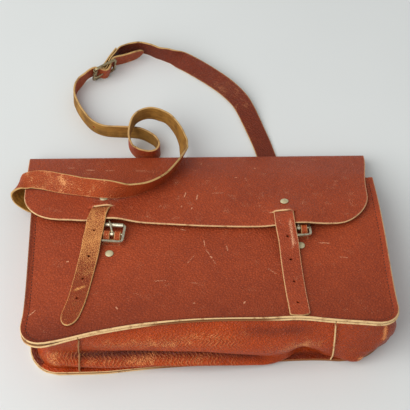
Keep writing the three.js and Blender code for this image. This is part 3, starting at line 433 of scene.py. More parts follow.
def front_top(x: Any, y: Any) -> Any:
    """Height of the front panel's outer face.

    Args:
        x: place in plan.
        y: place in plan, up the bag.

    Returns:
        The height there.
    """
    flat = np.asarray(y, float)
    for _ in range(6):
        flat = flat + y - front_form(x, flat)[..., 1]
    return front_middle(x, flat) + PANEL_T / 2


def edge_of(x: Array, y: Array) -> tuple[Array, Array, Array]:
    """How a place lies to the front panel's outline.

    Args:
        x: place across the flat panel.
        y: place up the flat panel.

    Returns:
        How far in the place lies, and the outward direction's x and y.
    """
    middle, radius = (LEFT + RIGHT) / 2, FRONT_CORNER.left
    side = np.where(x >= middle, 1.0, -1.0)
    beyond_x = np.abs(x - middle) - ((RIGHT - LEFT) / 2 - radius)
    beyond_y = BOTTOM + radius - y
    far = np.maximum(np.hypot(beyond_x, beyond_y), 1e-9)
    corner = (beyond_x > 0) & (beyond_y > 0)
    sideways = beyond_x > beyond_y
    inset = np.where(corner, radius - far, radius - np.maximum(beyond_x, beyond_y))
    nx = np.where(corner, side * beyond_x / far, np.where(sideways, side, 0))
    ny = np.where(corner, -beyond_y / far, np.where(sideways, 0, -1))
    return inset, nx, ny


def margin_turn(x: Any, y: Any, ny: Any) -> Any:
    """How far the sewn margin turns up.

    Args:
        x: place across the flat panel.
        y: place up the flat panel.
        ny: the outward direction's y.

    Returns:
        The turn in radians.
    """
    side = np.where(np.asarray(x) < 0, TURN_LEFT, TURN_RIGHT)
    bottom = (TURN_BOTTOM - side) * (1 - (x / TURN_HALF) ** 4)
    beside_strap = STRAP_TURN * bell(x, STRAP_TURN_X, STRAP_TURN_REACH)
    return np.radians((side + (bottom + beside_strap) * ny ** 2) * (1 - 0.85 * smoothstep(y, 10, MOUTH)))


def front_point(x: Array, y: Array) -> Array:
    """Places on the middle of the front panel, with its margin turned up.

    Args:
        x: place across the flat panel.
        y: place up the flat panel.

    Returns:
        The places.
    """
    inset, nx, ny = edge_of(x, y)
    turned = np.maximum(MARGIN - inset, 0)
    turn = margin_turn(x, y, ny)
    outward = np.stack([nx * np.cos(turn), ny * np.cos(turn), np.sin(turn)], -1)
    return front_form(x - nx * turned, y - ny * turned) + outward * turned[..., None]


def seam_place(q: Array, radii: Corners, inset: float = MARGIN) -> tuple[Array, Array, Array, Array]:
    """A place on a seam line round the bag, and the way out from it.

    Args:
        q: 0-1 down the left side, 1-2 round the left corner, 2-3 along the bottom, 3-4 and 4-5 likewise.
        radii: corner radii of the panel's outline.
        inset: distance of the line from the outline.

    Returns:
        x, y and the outward direction's x and y.
    """
    stage = np.clip(np.floor(q), 0, 4).astype(int)
    k = q - stage
    steps = [stage == i for i in range(4)]
    along = mix(radii.left, radii.right, k)
    radius = np.select(steps, [radii.left, radii.left, along, radii.right], radii.right)
    angle = np.select(steps, [0 * k, k, 1 + 0 * k, 1 + k], 2) * np.pi / 2
    nx, ny = -np.cos(angle), -np.sin(angle)
    left, right, low = LEFT + radii.left, RIGHT - radii.right, BOTTOM + radius
    x = np.select([stage <= 1, stage == 2], [left + 0 * k, mix(left, right, k)], right)
    y = np.select([stage == 0, stage == 4], [mix(GUSSET_TOP, low, k), mix(low, GUSSET_TOP, k)], low)
    return x + nx * (radius - inset), y + ny * (radius - inset), nx, ny


def seated(height_at: Callable[[Any, Any], Any], x: float, y: float, turn: float = 0) -> Array:
    """Seat on a surface.

    Args:
        height_at: height of the surface over a place in plan.
        x: place in plan.
        y: place in plan, up the bag.
        turn: turn about the surface's normal in degrees.

    Returns:
        The seat's matrix, its z along the normal.
    """
    step = 3
    dx = np.array([2 * step, 0, height_at(x + step, y) - height_at(x - step, y)], float)
    dy = np.array([0, 2 * step, height_at(x, y + step) - height_at(x, y - step)], float)
    normal = unit(np.cross(dx, dy))
    side = unit(dx - normal * dx.dot(normal))
    seat = np.eye(4)
    seat[:3, 0], seat[:3, 1], seat[:3, 2] = side, np.cross(normal, side), normal
    seat[:3, 3] = x, y, height_at(x, y)
    return seat @ np.array(Matrix.Rotation(math.radians(turn), 4, "Z"))


def moved(seat: Array, *offset: float) -> Array:
    """A seat moved in its own directions."""
    return seat @ np.array(Matrix.Translation(offset))


def metres(seat: Array) -> Matrix:
    """A seat's matrix in metres."""
    return Matrix.Translation(seat[:3, 3] * MM) @ Matrix(seat[:3, :3].tolist()).to_4x4()


Value = Union["Wire", float, Sequence[float]]


class Wire:
    """A node's output, with arithmetic."""

    def __init__(self, shade: "Shade", socket: bpy.types.NodeSocket) -> None:
        """Keep the socket and its material."""
        self.shade = shade
        self.socket = socket

    def _math(self, operation: str, *values: Value) -> "Wire":
        """A Math node over values."""
        return self.shade.wire("ShaderNodeMath", dict(enumerate(values)), operation=operation)

    def __add__(self, other: Value) -> "Wire":
        """Sum."""
        return self._math("ADD", self, other)

    def __sub__(self, other: Value) -> "Wire":
        """Difference."""
        return self._math("SUBTRACT", self, other)

    def __rsub__(self, other: Value) -> "Wire":
        """Difference from a plain number."""
        return self._math("SUBTRACT", other, self)

    def __mul__(self, other: Value) -> "Wire":
        """Product."""
        return self._math("MULTIPLY", self, other)

    def __abs__(self) -> "Wire":
        """Size without sign."""
        return self._math("ABSOLUTE", self)

    def most(self, other: Value) -> "Wire":
        """The larger of two."""
        return self._math("MAXIMUM", self, other)

    def fold(self, span: float) -> "Wire":
        """Back and forth between 0 and a span."""
        return self._math("PINGPONG", self, span)

    def sine(self) -> "Wire":
        """Sine of an angle in radians."""
        return self._math("SINE", self)

    def ramp(self, low: float, high: float) -> "Wire":
        """Smooth rise from 0 at low to 1 at high, or a fall if high is the lower."""
        ends = {0: self, 1: min(low, high), 2: max(low, high)}
        rise = self.shade.wire("ShaderNodeMapRange", ends, interpolation_type="SMOOTHSTEP")
        return rise if low < high else 1 - rise


class Shade:
    """A material and its nodes."""

    def __init__(self, name: str) -> None:
        """Start a material with no nodes.

        Args:
            name: the material's name.
        """
        self.material = bpy.data.materials.new(name)
        self.material.use_nodes = True
        self.tree = self.material.node_tree
        self.tree.nodes.clear()

    def node(self, kind: str, inputs: Mapping[Any, Value] | None = None, **settings: Any) -> bpy.types.Node:
        """Add a node.

        Args:
            kind: the node's type.
            inputs: values or wires of its sockets.
            settings: its settings, which are set first.

        Returns:
            The node.
        """
        made = self.tree.nodes.new(kind)
        for name, setting in settings.items():
            setattr(made, name, setting)
        for key, value in (inputs or {}).items():
            if isinstance(value, Wire):
                self.tree.links.new(value.socket, made.inputs[key])
            else:
                made.inputs[key].default_value = value
        return made

    def wire(
        self, kind: str, inputs: Mapping[Any, Value] | None = None, output: Any = 0, **settings: Any,
    ) -> Wire:
        """A node's output."""
        return Wire(self, self.node(kind, inputs, **settings).outputs[output])

    def mix(self, share: Value, a: Value, b: Value) -> Wire:
        """A colour between two."""
        return self.wire("ShaderNodeMix", {0: share, 6: a, 7: b}, output=2, data_type="RGBA")

    def split(self, place: Wire) -> tuple[Wire, Wire]:
        """The first two coordinates of a place."""
        parts = self.node("ShaderNodeSeparateXYZ", {0: place})
        return Wire(self, parts.outputs[0]), Wire(self, parts.outputs[1])

    def flat(self) -> Wire:
        """Place on the leather as cut, in metres."""
        return self.wire("ShaderNodeUVMap", uv_map="leather")

    def space(self) -> Wire:
        """Place in the part's frame, in metres."""
        return self.wire("ShaderNodeTexCoord", output="Object")

    def attribute(self, name: str) -> Wire:
        """A number stored on the mesh."""
        return self.wire("ShaderNodeAttribute", output="Fac", attribute_name=name)

    def noise(self, place: Wire, scale: float, detail: float = 2, rough: float = 0.5) -> Wire:
        """Cloudy noise, about 0.3 to 0.7."""
        inputs = {"Vector": place, "Scale": scale, "Detail": detail, "Roughness": rough}
        return self.wire("ShaderNodeTexNoise", inputs)

    def stretch(self, place: Wire, angle: float, longer: float) -> Wire:
        """A place read so that a pattern's cells grow longer along an angle in degrees."""
        inputs = {"Vector": place, "Rotation": (0, 0, math.radians(angle)), "Scale": (longer, 1, 1)}
        return self.wire("ShaderNodeMapping", inputs, vector_type="TEXTURE")

    def crooked(self, place: Wire, scale: float, reach: float) -> Wire:
        """A place pushed about by noise."""
        noise = self.wire("ShaderNodeTexNoise", {"Vector": place, "Scale": scale}, output="Color")
        return self.wire(
            "ShaderNodeVectorMath", {0: noise, 1: [reach] * 3, 2: place}, operation="MULTIPLY_ADD",
        )

    def finish(
        self, inputs: Mapping[str, Value], height: Wire | None = None, depth: float = 0,
    ) -> Material:
        """Close the material with a surface shader.

        Args:
            inputs: values and wires for the shader.
            height: relief, if any.
            depth: depth of the relief in metres.

        Returns:
            The finished material.
        """
        sockets = dict(inputs)
        if height is not None:
            sockets["Normal"] = self.wire("ShaderNodeBump", {"Height": height, "Distance": depth})
        shader = self.wire("ShaderNodeBsdfPrincipled", sockets)
        self.node("ShaderNodeOutputMaterial", {"Surface": shader})
        return self.material


def srgb(red: int, green: int, blue: int) -> Colour:
    """A colour given as seen on a screen."""
    screen = [value / 255 for value in (red, green, blue)]
    return (*(c / 12.92 if c <= 0.04045 else ((c + 0.055) / 1.055) ** 2.4 for c in screen), 1.0)


class Tones(NamedTuple):
    """Colours of a leather's grain side: its face, its pores and clouds, and where it is worn; the last also
    serves as painted highlight on ticks and painted sheen.
    """

    base: Colour
    deep: Colour
    worn: Colour


@dataclass(frozen=True)
class Leather:
    """Grain side of a leather: colours, slanting pebbled grain, specks, edge wear, worn places, painted shade
    and painted highlights on the chevron ticks.
    """

    name: str
    tones: Tones
    grain: float = 2.2
    lean: float = 40.0
    depth: float = 0.00045
    clouds: float = 0.22
    specks: float = 0.35
    wear: float = 0.3
    rough: float = 0.52
    shine: float = 0.22
    chevrons: float = 0.0
    tick_pitch: float = 0.0042
    tick_row: float = 0.0045
    # share of the worn tone painted on the ticks as highlight
    tick_highlight: float = 0.27
    marks: tuple[Mark, ...] = ()
    mark_gain: float = 1.35
    mark_wander: float = 1.6
    # colour of the painted shade in creases, hollows and faces turned from the lamp
    painted_shade: Colour = srgb(84, 30, 16)

    def _ticks(self, shade: Shade, place: Wire) -> Wire:
        """Rows of slanting ticks stamped in the leather, where highlights are painted too.

        Args:
            shade: the material.
            place: place on the flat leather.

        Returns:
            How much of a tick is there.
        """
        along, down = shade.split(place)
        wobble = shade.noise(place, 150, 2) * 0.006
        wave = ((along + down.fold(self.tick_row) * 0.9 + wobble) * (2 * math.pi / self.tick_pitch)).sine()
        return wave.ramp(-0.2, 0.9) * shade.attribute("pressed_highlit") * shade.noise(place, 60, 2).ramp(0.3, 0.55)

    def _scuffed(self, shade: Shade, place: Wire, rub: Wire) -> Wire:
        """How worn the leather is, with its marks and any painted sheen.

        Args:
            shade: the material.
            place: place on the flat leather.
            rub: how worn the leather is without the marks, painted sheen included.

        Returns:
            The larger of the rubbing and the marks.
        """
        x, y = shade.split(shade.crooked(place, 220, self.mark_wander * MM))
        for mark in self.marks:
            c, s = math.cos(math.radians(mark.angle)), math.sin(math.radians(mark.angle))
            dx, dy = (at - (middle + self.mark_wander / 2) * MM for at, middle in ((x, mark.x), (y, mark.y)))
            along = abs(dx * c + dy * s).ramp(mark.length * MM / 2, mark.length * MM / 6)
            across = abs(dy * c - dx * s).ramp(mark.width * MM / 2, 0)
            rub = rub.most(along * across * (self.mark_gain * mark.strength))
        return rub

    def build(self) -> Material:
        """Make the material.

        Returns:
            The material.
        """
        shade = Shade(self.name)
        place = shade.flat()
        cloud = shade.noise(place, 16, 4, 0.6)
        patch = shade.noise(place, 75, 3)
        fine = shade.noise(place, 1000, 3, 0.65)
        slanted = shade.stretch(shade.crooked(place, 120, 0.002), self.lean, 1.6)
        cells = {"Vector": slanted, "Scale": 1000 / self.grain}
        pebble = shade.wire("ShaderNodeTexVoronoi", cells, feature="DISTANCE_TO_EDGE")
        tone = shade.noise(slanted, 1300 / self.grain, 2)
        share = cloud.ramp(0.35, 0.68) * self.clouds + tone.ramp(0.38, 0.64) * 0.26
        share = share + pebble.ramp(0.2, 0) * 0.34
        colour = shade.mix(share, self.tones.base, self.tones.deep)
        # painted shade: darker where the mesh marks creases, hollows and faces turned from the lamp
        colour = shade.mix(shade.attribute("painted_shade"), colour, self.painted_shade)
        lines = shade.noise(shade.stretch(place, self.lean + 25, 9), 620, 2)
        hairline = lines.ramp(0.68, 0.76) * cloud.ramp(0.45, 0.6)
        # wear and rubbing, with painted sheen where the mesh marks it on the short strap
        rub = self._scuffed(shade, place, shade.attribute("rub_and_sheen") + patch.ramp(0.46, 0.72) * self.specks)
        dust = (fine + rub * 0.35).ramp(0.66, 0.84)
        rim = (shade.attribute("rim") + fine - 0.5).ramp(0.62, 0.95)
        worn = (dust + hairline * self.specks + rim * self.wear).ramp(0, 1)
        colour = shade.mix(worn, colour, self.tones.worn)
        height = pebble.ramp(0, 0.35) + fine * 0.5 - worn * 0.3
        if self.chevrons:
            tick = self._ticks(shade, place)
            height = height + tick * self.chevrons
            # painted highlight: the ticks are lightened toward the worn tone
            colour = shade.mix(tick * (self.tick_highlight * self.chevrons), colour, self.tones.worn)
        inputs = {
            "Base Color": colour,
            "Roughness": patch * 0.2 + worn * 0.2 + (self.rough - 0.1),
            "Specular IOR Level": self.shine,
        }
        return shade.finish(inputs, height, self.depth)


@dataclass(frozen=True)
class Suede:
    """Flesh side of a leather."""

    name: str
    base: Colour
    deep: Colour

    def build(self) -> Material:
        """Make the material.

        Returns:
            The material.
        """
        shade = Shade(self.name)
        place = shade.flat()
        nap = shade.noise(place, 900, 4, 0.7)
        streak = shade.noise(shade.stretch(place, 0, 4), 320, 3)
        cloud = shade.noise(place, 40, 3)
        share = (nap * 0.5 + streak * 0.5 + cloud * 0.6 - 0.3).ramp(0.3, 0.75)
        inputs = {
            "Base Color": shade.mix(share, self.base, self.deep),
            "Roughness": 0.95,
            "Specular IOR Level": 0.1,
            "Sheen Weight": 0.06,
        }
        return shade.finish(inputs, nap + streak * 0.6, 0.0002)


@dataclass(frozen=True)
class RawEdge:
    """Cut edge of a leather."""

    name: str
    base: Colour
    deep: Colour

    def build(self) -> Material:
        """Make the material.

        Returns:
            The material.
        """
        shade = Shade(self.name)
        place = shade.space()
        fibre = shade.noise(place, 1300, 3, 0.65)
        dirt = shade.noise(place, 130, 3)
        # darker where the mesh says: painted shade on edges low at the back and tucked under the front panel,
        # and a darker strip on the front's left edge and on the left welt
        share = (fibre * 0.5 + dirt * 0.7 - 0.1).ramp(0.48, 0.74).most(shade.attribute("dark_edge"))
        inputs = {
            "Base Color": shade.mix(share, self.base, self.deep),
            "Roughness": 0.9,
            "Specular IOR Level": 0.2,
        }
        return shade.finish(inputs, fibre, 0.00025)


@dataclass(frozen=True)
class Metal:
    """Plated metal with dull patches."""

    name: str
    base: Colour
    dull: Colour
    rough: float
    metallic: float = 1.0

    def build(self) -> Material:
        """Make the material.

        Returns:
            The material.
        """
        shade = Shade(self.name)
        place = shade.space()
        patch = shade.noise(place, 260, 4, 0.6)
        tarnish = patch.ramp(0.46, 0.7)
        inputs = {
            "Base Color": shade.mix(tarnish, self.base, self.dull),
            "Metallic": self.metallic,
            "Roughness": tarnish * 0.15 + self.rough,
        }
        return shade.finish(inputs, patch, 0.00003)


@dataclass(frozen=True)
class Thread:
    """Waxed sewing thread."""

    name: str
    base: Colour
    deep: Colour

    def build(self) -> Material:
        """Make the material.

        Returns:
            The material.
        """
        shade = Shade(self.name)
        fibre = shade.noise(shade.space(), 1600, 3)
        inputs = {"Base Color": shade.mix(fibre.ramp(0.35, 0.65), self.base, self.deep), "Roughness": 0.75}
        return shade.finish(inputs, fibre, 0.0001)


@dataclass(frozen=True)
class Paper:
    """Pale table that the bag lies on."""

    name: str
    base: Colour
    deep: Colour

    def build(self) -> Material:
        """Make the material.

        Returns:
            The material.
        """
        shade = Shade(self.name)
        cloud = shade.noise(shade.space(), 3, 3)
        inputs = {
            "Base Color": shade.mix(cloud.ramp(0.3, 0.7), self.base, self.deep),
            "Roughness": 0.85,
            "Specular IOR Level": 0.2,
        }
        return shade.finish(inputs)


class Plating(Enum):
    """How worn the plating of a buckle is."""

    BRIGHT = "bright"
    OLD = "old"


class Finishes:
    """Every material of the bag, built once."""

    def __init__(self) -> None:
        """Build the materials."""
        panel = Tones(srgb(184, 79, 41), srgb(126, 49, 29), srgb(230, 160, 122))
        on_flap = tuple(m._replace(y=float(SIDE_VIEW.length_to(m.y)), angle=-m.angle) for m in FLAP_MARKS)
        self.flap = Leather("flap_leather", panel, lean=-40, wear=0.6, specks=0.5, marks=on_flap).build()
        self.front = Leather("front_leather", panel, marks=FRONT_MARKS).build()
        gusset = Tones(srgb(204, 77, 12), srgb(138, 45, 8), srgb(244, 154, 92))
        self.gusset = Leather(
            "gusset_grain", gusset, grain=2.0, depth=0.0007, chevrons=1.2, rough=0.42, shine=0.3, specks=0.42,
        ).build()
        tan = Tones(srgb(158, 66, 30), srgb(106, 42, 20), srgb(228, 154, 88))
        self.tan_strap = Leather("rubbed_strap", tan, specks=0.2, wear=0.8).build()
        self.red_strap = Leather("red_strap", panel, specks=0.45, wear=0.8).build()
        dark = Tones(srgb(126, 50, 26), srgb(86, 34, 20), srgb(202, 136, 94))
        self.dark_strap = Leather("dark_strap", dark, wear=0.6).build()
        shoulder = Tones(srgb(184, 81, 36), srgb(132, 53, 25), srgb(240, 164, 106))
        self.shoulder = Leather("shoulder_grain", shoulder, specks=0.5, wear=0.6).build()
        self.suede = Suede("strap_flesh", srgb(178, 129, 56), srgb(108, 71, 22)).build()
        self.inside = Suede("panel_flesh", srgb(178, 128, 84), srgb(134, 90, 56)).build()
        self.edge = RawEdge("raw_edge", srgb(236, 198, 144), srgb(150, 96, 58)).build()
        self.hem = RawEdge("strap_edge", srgb(226, 184, 124), srgb(144, 94, 50)).build()
        self.old_hem = RawEdge("shoulder_edge", srgb(206, 166, 108), srgb(124, 84, 44)).build()
        nickel = Metal("buckle_nickel", srgb(216, 208, 182), srgb(172, 162, 132), 0.36).build()
        # Painted highlight: the roller's nickel is a brighter copy of the buckle's.
        roller = Metal("highlit_roller_nickel", srgb(236, 230, 206), srgb(208, 198, 168), 0.42).build()
        old_nickel = Metal("shoulder_metal", srgb(176, 160, 124), srgb(118, 102, 72), 0.42).build()
        self.buckle = {Plating.BRIGHT: nickel, Plating.OLD: old_nickel}
        self.roller = {Plating.BRIGHT: roller, Plating.OLD: old_nickel}
        self.brass = Metal("rivet_brass", srgb(212, 200, 160), srgb(188, 174, 132), 0.6, 0.35).build()
        self.thread = Thread("dark_thread", srgb(84, 40, 26), srgb(52, 24, 16)).build()
        self.table = Paper("pale_table", srgb(229, 232, 231), srgb(225, 228, 227)).build()


# Scuffs in millimetres on the flat panels, and on the gusset by its q and w
FLAP_MARKS = tuple(Mark(*row) for row in (
    (-21.7, 50, 13, 2.6, 80, 0.9), (-8.9, 45.6, 13, 2.6, 80, 0.9), (-3, 108, 7, 2.4, 80, 0.75),
    (-125, 99, 16, 3, -8, 0.8), (-146, 104, 14, 4, 0, 0.6), (-104, 97, 18, 4, 0, 0.6),
    (34, 77.6, 4, 3, 0, 0.8), (56, 96, 4, 3, 0, 0.8), (13.8, 51.8, 22, 2.4, 0, 0.6),
    (-108, 43, 20, 3.4, 5, 0.65), (-26, 32, 5, 3, 60, 0.7), (-15, 29, 5, 3, 60, 0.7),
    (-48, 33, 8, 3, 45, 0.55), (-70, 95, 22, 5, 0, 0.52),
))
FRONT_MARKS = tuple(Mark(*row) for row in (
    (-2.6, -19, 18, 2.4, -84, 0.6), (0.8, -32, 14, 2.4, -65, 0.6), (4, -39, 6, 2.8, -62, 0.9),
    (7, -46, 12, 2.4, -63, 0.55), (20.7, -26, 13, 3.5, -85, 0.6), (-24.6, 2, 11, 4, -20, 0.6),
    (123, -20, 18, 3.4, -5, 0.65), (141, -40, 16, 2.6, -8, 0.55), (-145, -33, 4, 3, 0, 0.9),
    (-49, -69, 22, 3, 0, 0.5), (-13.7, -74.5, 15, 3, -8, 0.55), (35.7, -104, 5, 3, 60, 0.9),
    (-93, -99.5, 6, 4, -60, 0.75), (-15, -103, 5, 3, 0, 0.65), (66, -60, 24, 3, -40, 0.5),
    (-17, -41, 26, 2.4, 55, 0.5), (-177, -92, 12, 3, 45, 0.65),
))
GUSSET_MARKS = tuple(Mark(*row) for row in (
    (2.32, 0.85, 0.42, 0.35, 0, 0.45), (2.3, 3.75, 0.36, 0.3, 0, 0.4),
    (3.37, 0.5, 1.5, 0.06, 90, 0.85), (3.09, 3.9, 1.4, 0.06, 90, 0.95),
    (2.78, 1.35, 0.16, 0.5, 0, 0.6), (1.58, 4.0, 0.5, 0.03, 90, 0.7),
    (1.88, 3.6, 0.4, 0.9, 0, 0.42),
))


def scuffs(places: Array, marks: Iterable[Mark]) -> Array:
    """How rubbed a leather is by its marks.

    Args:
        places: places on the flat leather.
        marks: the marks.

    Returns:
        A number for each place.
    """
    total = np.zeros(len(places))
    for mark in marks:
        c, s = math.cos(math.radians(mark.angle)), math.sin(math.radians(mark.angle))
        dx, dy = (places - (mark.x, mark.y)).T
        along, across = (dx * c + dy * s) / (mark.length / 2), (dy * c - dx * s) / mark.width
        total = np.maximum(total, mark.strength * np.exp(-along ** 4 - across ** 2))
    return total


def edge_distance(flat: Array, border: Array) -> Array:
    """Distance of places on the flat leather from its border places."""
    chunks = np.array_split(border, math.ceil(len(border) / 64))
    return np.min([np.linalg.norm(flat[:, None] - chunk[None], axis=-1).min(1) for chunk in chunks], axis=0)


def point_normals(points: Array, quads: Array) -> Array:
    """Normals of a grid's points.

    Args:
        points: the points.
        quads: four points each.

    Returns:
        The normals, each from the quads round its point.
    """
    face = np.cross(points[quads[:, 2]] - points[quads[:, 0]], points[quads[:, 3]] - points[quads[:, 1]])
    normals = np.zeros_like(points)
    for corner in range(4):
        np.add.at(normals, quads[:, corner], face)
    return unit(normals)


def border_edges(quads: Array, size: int) -> Array:
    """Directed edges that only one quad of a grid of so many points has."""
    edges = np.concatenate([quads[:, [i, (i + 1) % 4]] for i in range(4)])
    return edges[~np.isin(edges[:, 0] * size + edges[:, 1], edges[:, 1] * size + edges[:, 0])]


def ways_out(points: Array, normals: Array, rim: Array) -> Array:
    """Directions out of a sheet at the points of its border.

    Args:
        points: the sheet's points.
        normals: their normals.
        rim: directed border edges.

    Returns:
        A direction for each point, zero away from the border.
    """
    out = unit(np.cross(points[rim[:, 1]] - points[rim[:, 0]], normals[rim[:, 0]]))
    away = np.zeros_like(points)
    np.add.at(away, rim[:, 0], out)
    np.add.at(away, rim[:, 1], out)
    return unit(away)


@dataclass
class Sheet:
    """A sheet of leather as a grid that may have slits and holes, thickened with rounded cut edges.

    The flat places are numbers that a surface turns into points, in millimetres.
    """

    name: str
    flat: Array
    surface: Callable[[Array, Array], Array]
    thickness: Any
    flip: bool = False
    uv: Callable[[Array, Array], Array] | None = None
    extra: dict[str, Array] = field(default_factory=dict)
    wear_reach: float = 2.4
    bulge: float = 0.22
    lift: Array | None = None
    # points round openings whose cut walls take the grain's material, as painted shade
    dark: Array = field(default_factory=lambda: np.zeros(0, int))

    def __post_init__(self) -> None:
        """Number the points and join them into quads."""
        rows, cols = self.flat.shape[:2]
        index = np.arange(rows * cols).reshape(rows, cols)
        corners = (index[:-1, :-1], index[:-1, 1:], index[1:, 1:], index[1:, :-1])
        self.quads = np.stack([c.ravel() for c in corners], 1)
        self.places = self.flat.reshape(-1, 2).astype(float)
        self.grid = index

    def punch(
        self, inside: Callable[[Array], Array], snap: Callable[[Array], Array], dark: bool = False,
    ) -> None:
        """Take out quads and draw the rim of the opening to its true outline.

        Args:
            inside: says which places lie in the opening.
            snap: moves places on to the opening's outline.
            dark: whether the opening's cut edge takes the grain's darker material, painted shade on the walls
                of a small hole.
        """
        middle = self.places[self.quads].mean(1)
        gone = inside(middle)
        ring = np.unique(self.quads[gone])
        self.quads = self.quads[~gone]
        kept = np.intersect1d(ring, self.quads)
        self.places[kept] = snap(self.places[kept])
        if dark:
            self.dark = np.union1d(self.dark, kept)

    def slit(self, row: int, first: int, last: int) -> None:
        """Cut the sheet open along a row.

        Args:
            row: the row.
            first: column at which the slit starts.
            last: column at which it ends.
        """
        inner = self.grid[row, first + 1:last]
        fresh = len(self.places) + np.arange(len(inner))
        self.places = np.concatenate([self.places, self.places[inner]])
        below = self.grid[row:row + 2, first:last + 1]
        swap = dict(zip(inner.tolist(), fresh.tolist()))
        lower = np.isin(self.quads, below).all(1)
        self.quads[lower] = np.vectorize(lambda i: swap.get(i, i))(self.quads[lower])

    def build(self, materials: Sequence[Material]) -> Object:
        """Thicken the sheet.

        Args:
            materials: those of the grain, the flesh and the cut edge.

        Returns:
            The finished mesh object.
        """
        used, quads = np.unique(self.quads, return_inverse=True)
        quads = quads.reshape(-1, 4)
        if self.flip:
            quads = quads[:, ::-1]
        places = self.places[used]
        points = self.surface(places[:, 0], places[:, 1])
        if self.lift is not None:
            points = points + self.lift[used]
        flat = places if self.uv is None else self.uv(places[:, 0], places[:, 1])
        size = len(points)
        normals = point_normals(points, quads)
        rim = border_edges(quads, size)
        ring = np.unique(rim)
        thick = np.broadcast_to(self.thickness, (len(self.places),))[used][:, None]
        top, low = points + normals * thick / 2, points - normals * thick / 2
        bulge = (points + ways_out(points, normals, rim) * thick * self.bulge)[ring]
        corners = np.concatenate([top, low, bulge])
        a, b = rim.T
        ma, mb = (2 * size + np.searchsorted(ring, end) for end in (a, b))
        faces = np.concatenate([
            quads, quads[:, ::-1] + size,
            np.stack([b, a, ma, mb], 1), np.stack([mb, ma, a + size, b + size], 1),
        ])
        # cut walls round dark openings take the grain's material: painted shade in the holes
        raw = ~np.isin(used[rim], self.dark).all(1)
        sides = np.repeat([Face.GRAIN, Face.FLESH], len(quads))
        kinds = np.concatenate([sides, np.tile(np.where(raw, Face.EDGE, Face.GRAIN), 2)])
        source = np.concatenate([np.arange(size), np.arange(size), ring])
        near = edge_distance(flat, flat[np.unique(rim[raw])])
        values = {"rim": np.exp(-near / self.wear_reach)}
        values.update({name: stored[used] for name, stored in self.extra.items()})
        made = mesh_object(self.name, corners, faces.tolist(), materials)
        made.data.polygons.foreach_set("material_index", kinds.astype(np.int32))
        owner = np.empty(len(made.data.loops), np.int32)
        made.data.loops.foreach_get("vertex_index", owner)
        layer = made.data.uv_layers.new(name="leather")
        layer.data.foreach_set("uv", (flat[source][owner] * MM).astype(np.float32).ravel())
        for name, stored in values.items():
            numbers = made.data.attributes.new(name, "FLOAT", "POINT").data
            numbers.foreach_set("value", stored[source].astype(np.float32))
        made.data.set_sharp_from_angle(angle=math.radians(40))
        made.data.update()
        return made

    def place(self, slot: str, materials: Sequence[Material], *nodes: str) -> None:
        """Build the sheet and tie it to the bag."""
        placed(self.build(materials), "satchel", slot, *nodes)


def mesh_object(
    name: str, corners: Array, faces: Sequence[Sequence[int]], materials: Sequence[Material],
) -> Object:
    """A smooth mesh object.

    Args:
        name: the object's name.
        corners: points in millimetres.
        faces: points of each face.
        materials: one per slot.

    Returns:
        The linked object.
    """
    mesh = bpy.data.meshes.new(name)
    mesh.from_pydata((corners * MM).tolist(), [], faces)
    for material in materials:
        mesh.materials.append(material)
    mesh.shade_smooth()
    mesh.update()
    made = bpy.data.objects.new(name, mesh)
    bpy.context.scene.collection.objects.link(made)
    return made


def placed(piece: Object, body: str, slot: str, *nodes: str) -> None:
    """Tie a finished piece to the frame and report it.

    Args:
        piece: the piece.
        body: the body that it rides on.
        slot: its material slot, not used.
        nodes: the nodes that it stands for.
    """
    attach(piece, body)
    if nodes:
        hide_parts(*nodes)
    LOG.info("%s: %d faces on %s", piece.name, len(piece.data.polygons), body)


def merged(*runs: Iterable[float]) -> Array:
    """Grid lines from several runs.

    Args:
        runs: the runs, an earlier one's lines being kept where two lie close together.

    Returns:
        The lines in rising order.
    """
    lines: list[float] = []
    for run in runs:
        lines += [value for value in run if all(abs(value - other) > 0.45 for other in lines)]
    return np.array(sorted(lines))


@dataclass
class Piece:
    """Something that is built from the finishes."""

    looks: Finishes


class Slit(NamedTuple):
    """A slit in the flap that a closing strap comes out of."""

    x: float
    y: float
    turn: float

    def level(self, x: Any) -> Any:
        """Length along the leather to the slit's line, at places across the flap."""
        return SIDE_VIEW.length_to(self.y + (x - self.x) * math.tan(math.radians(self.turn)))


SLITS = {Side.LEFT: Slit(-111.4, 33.0, 4), Side.RIGHT: Slit(81.9, 18.4, -3)}


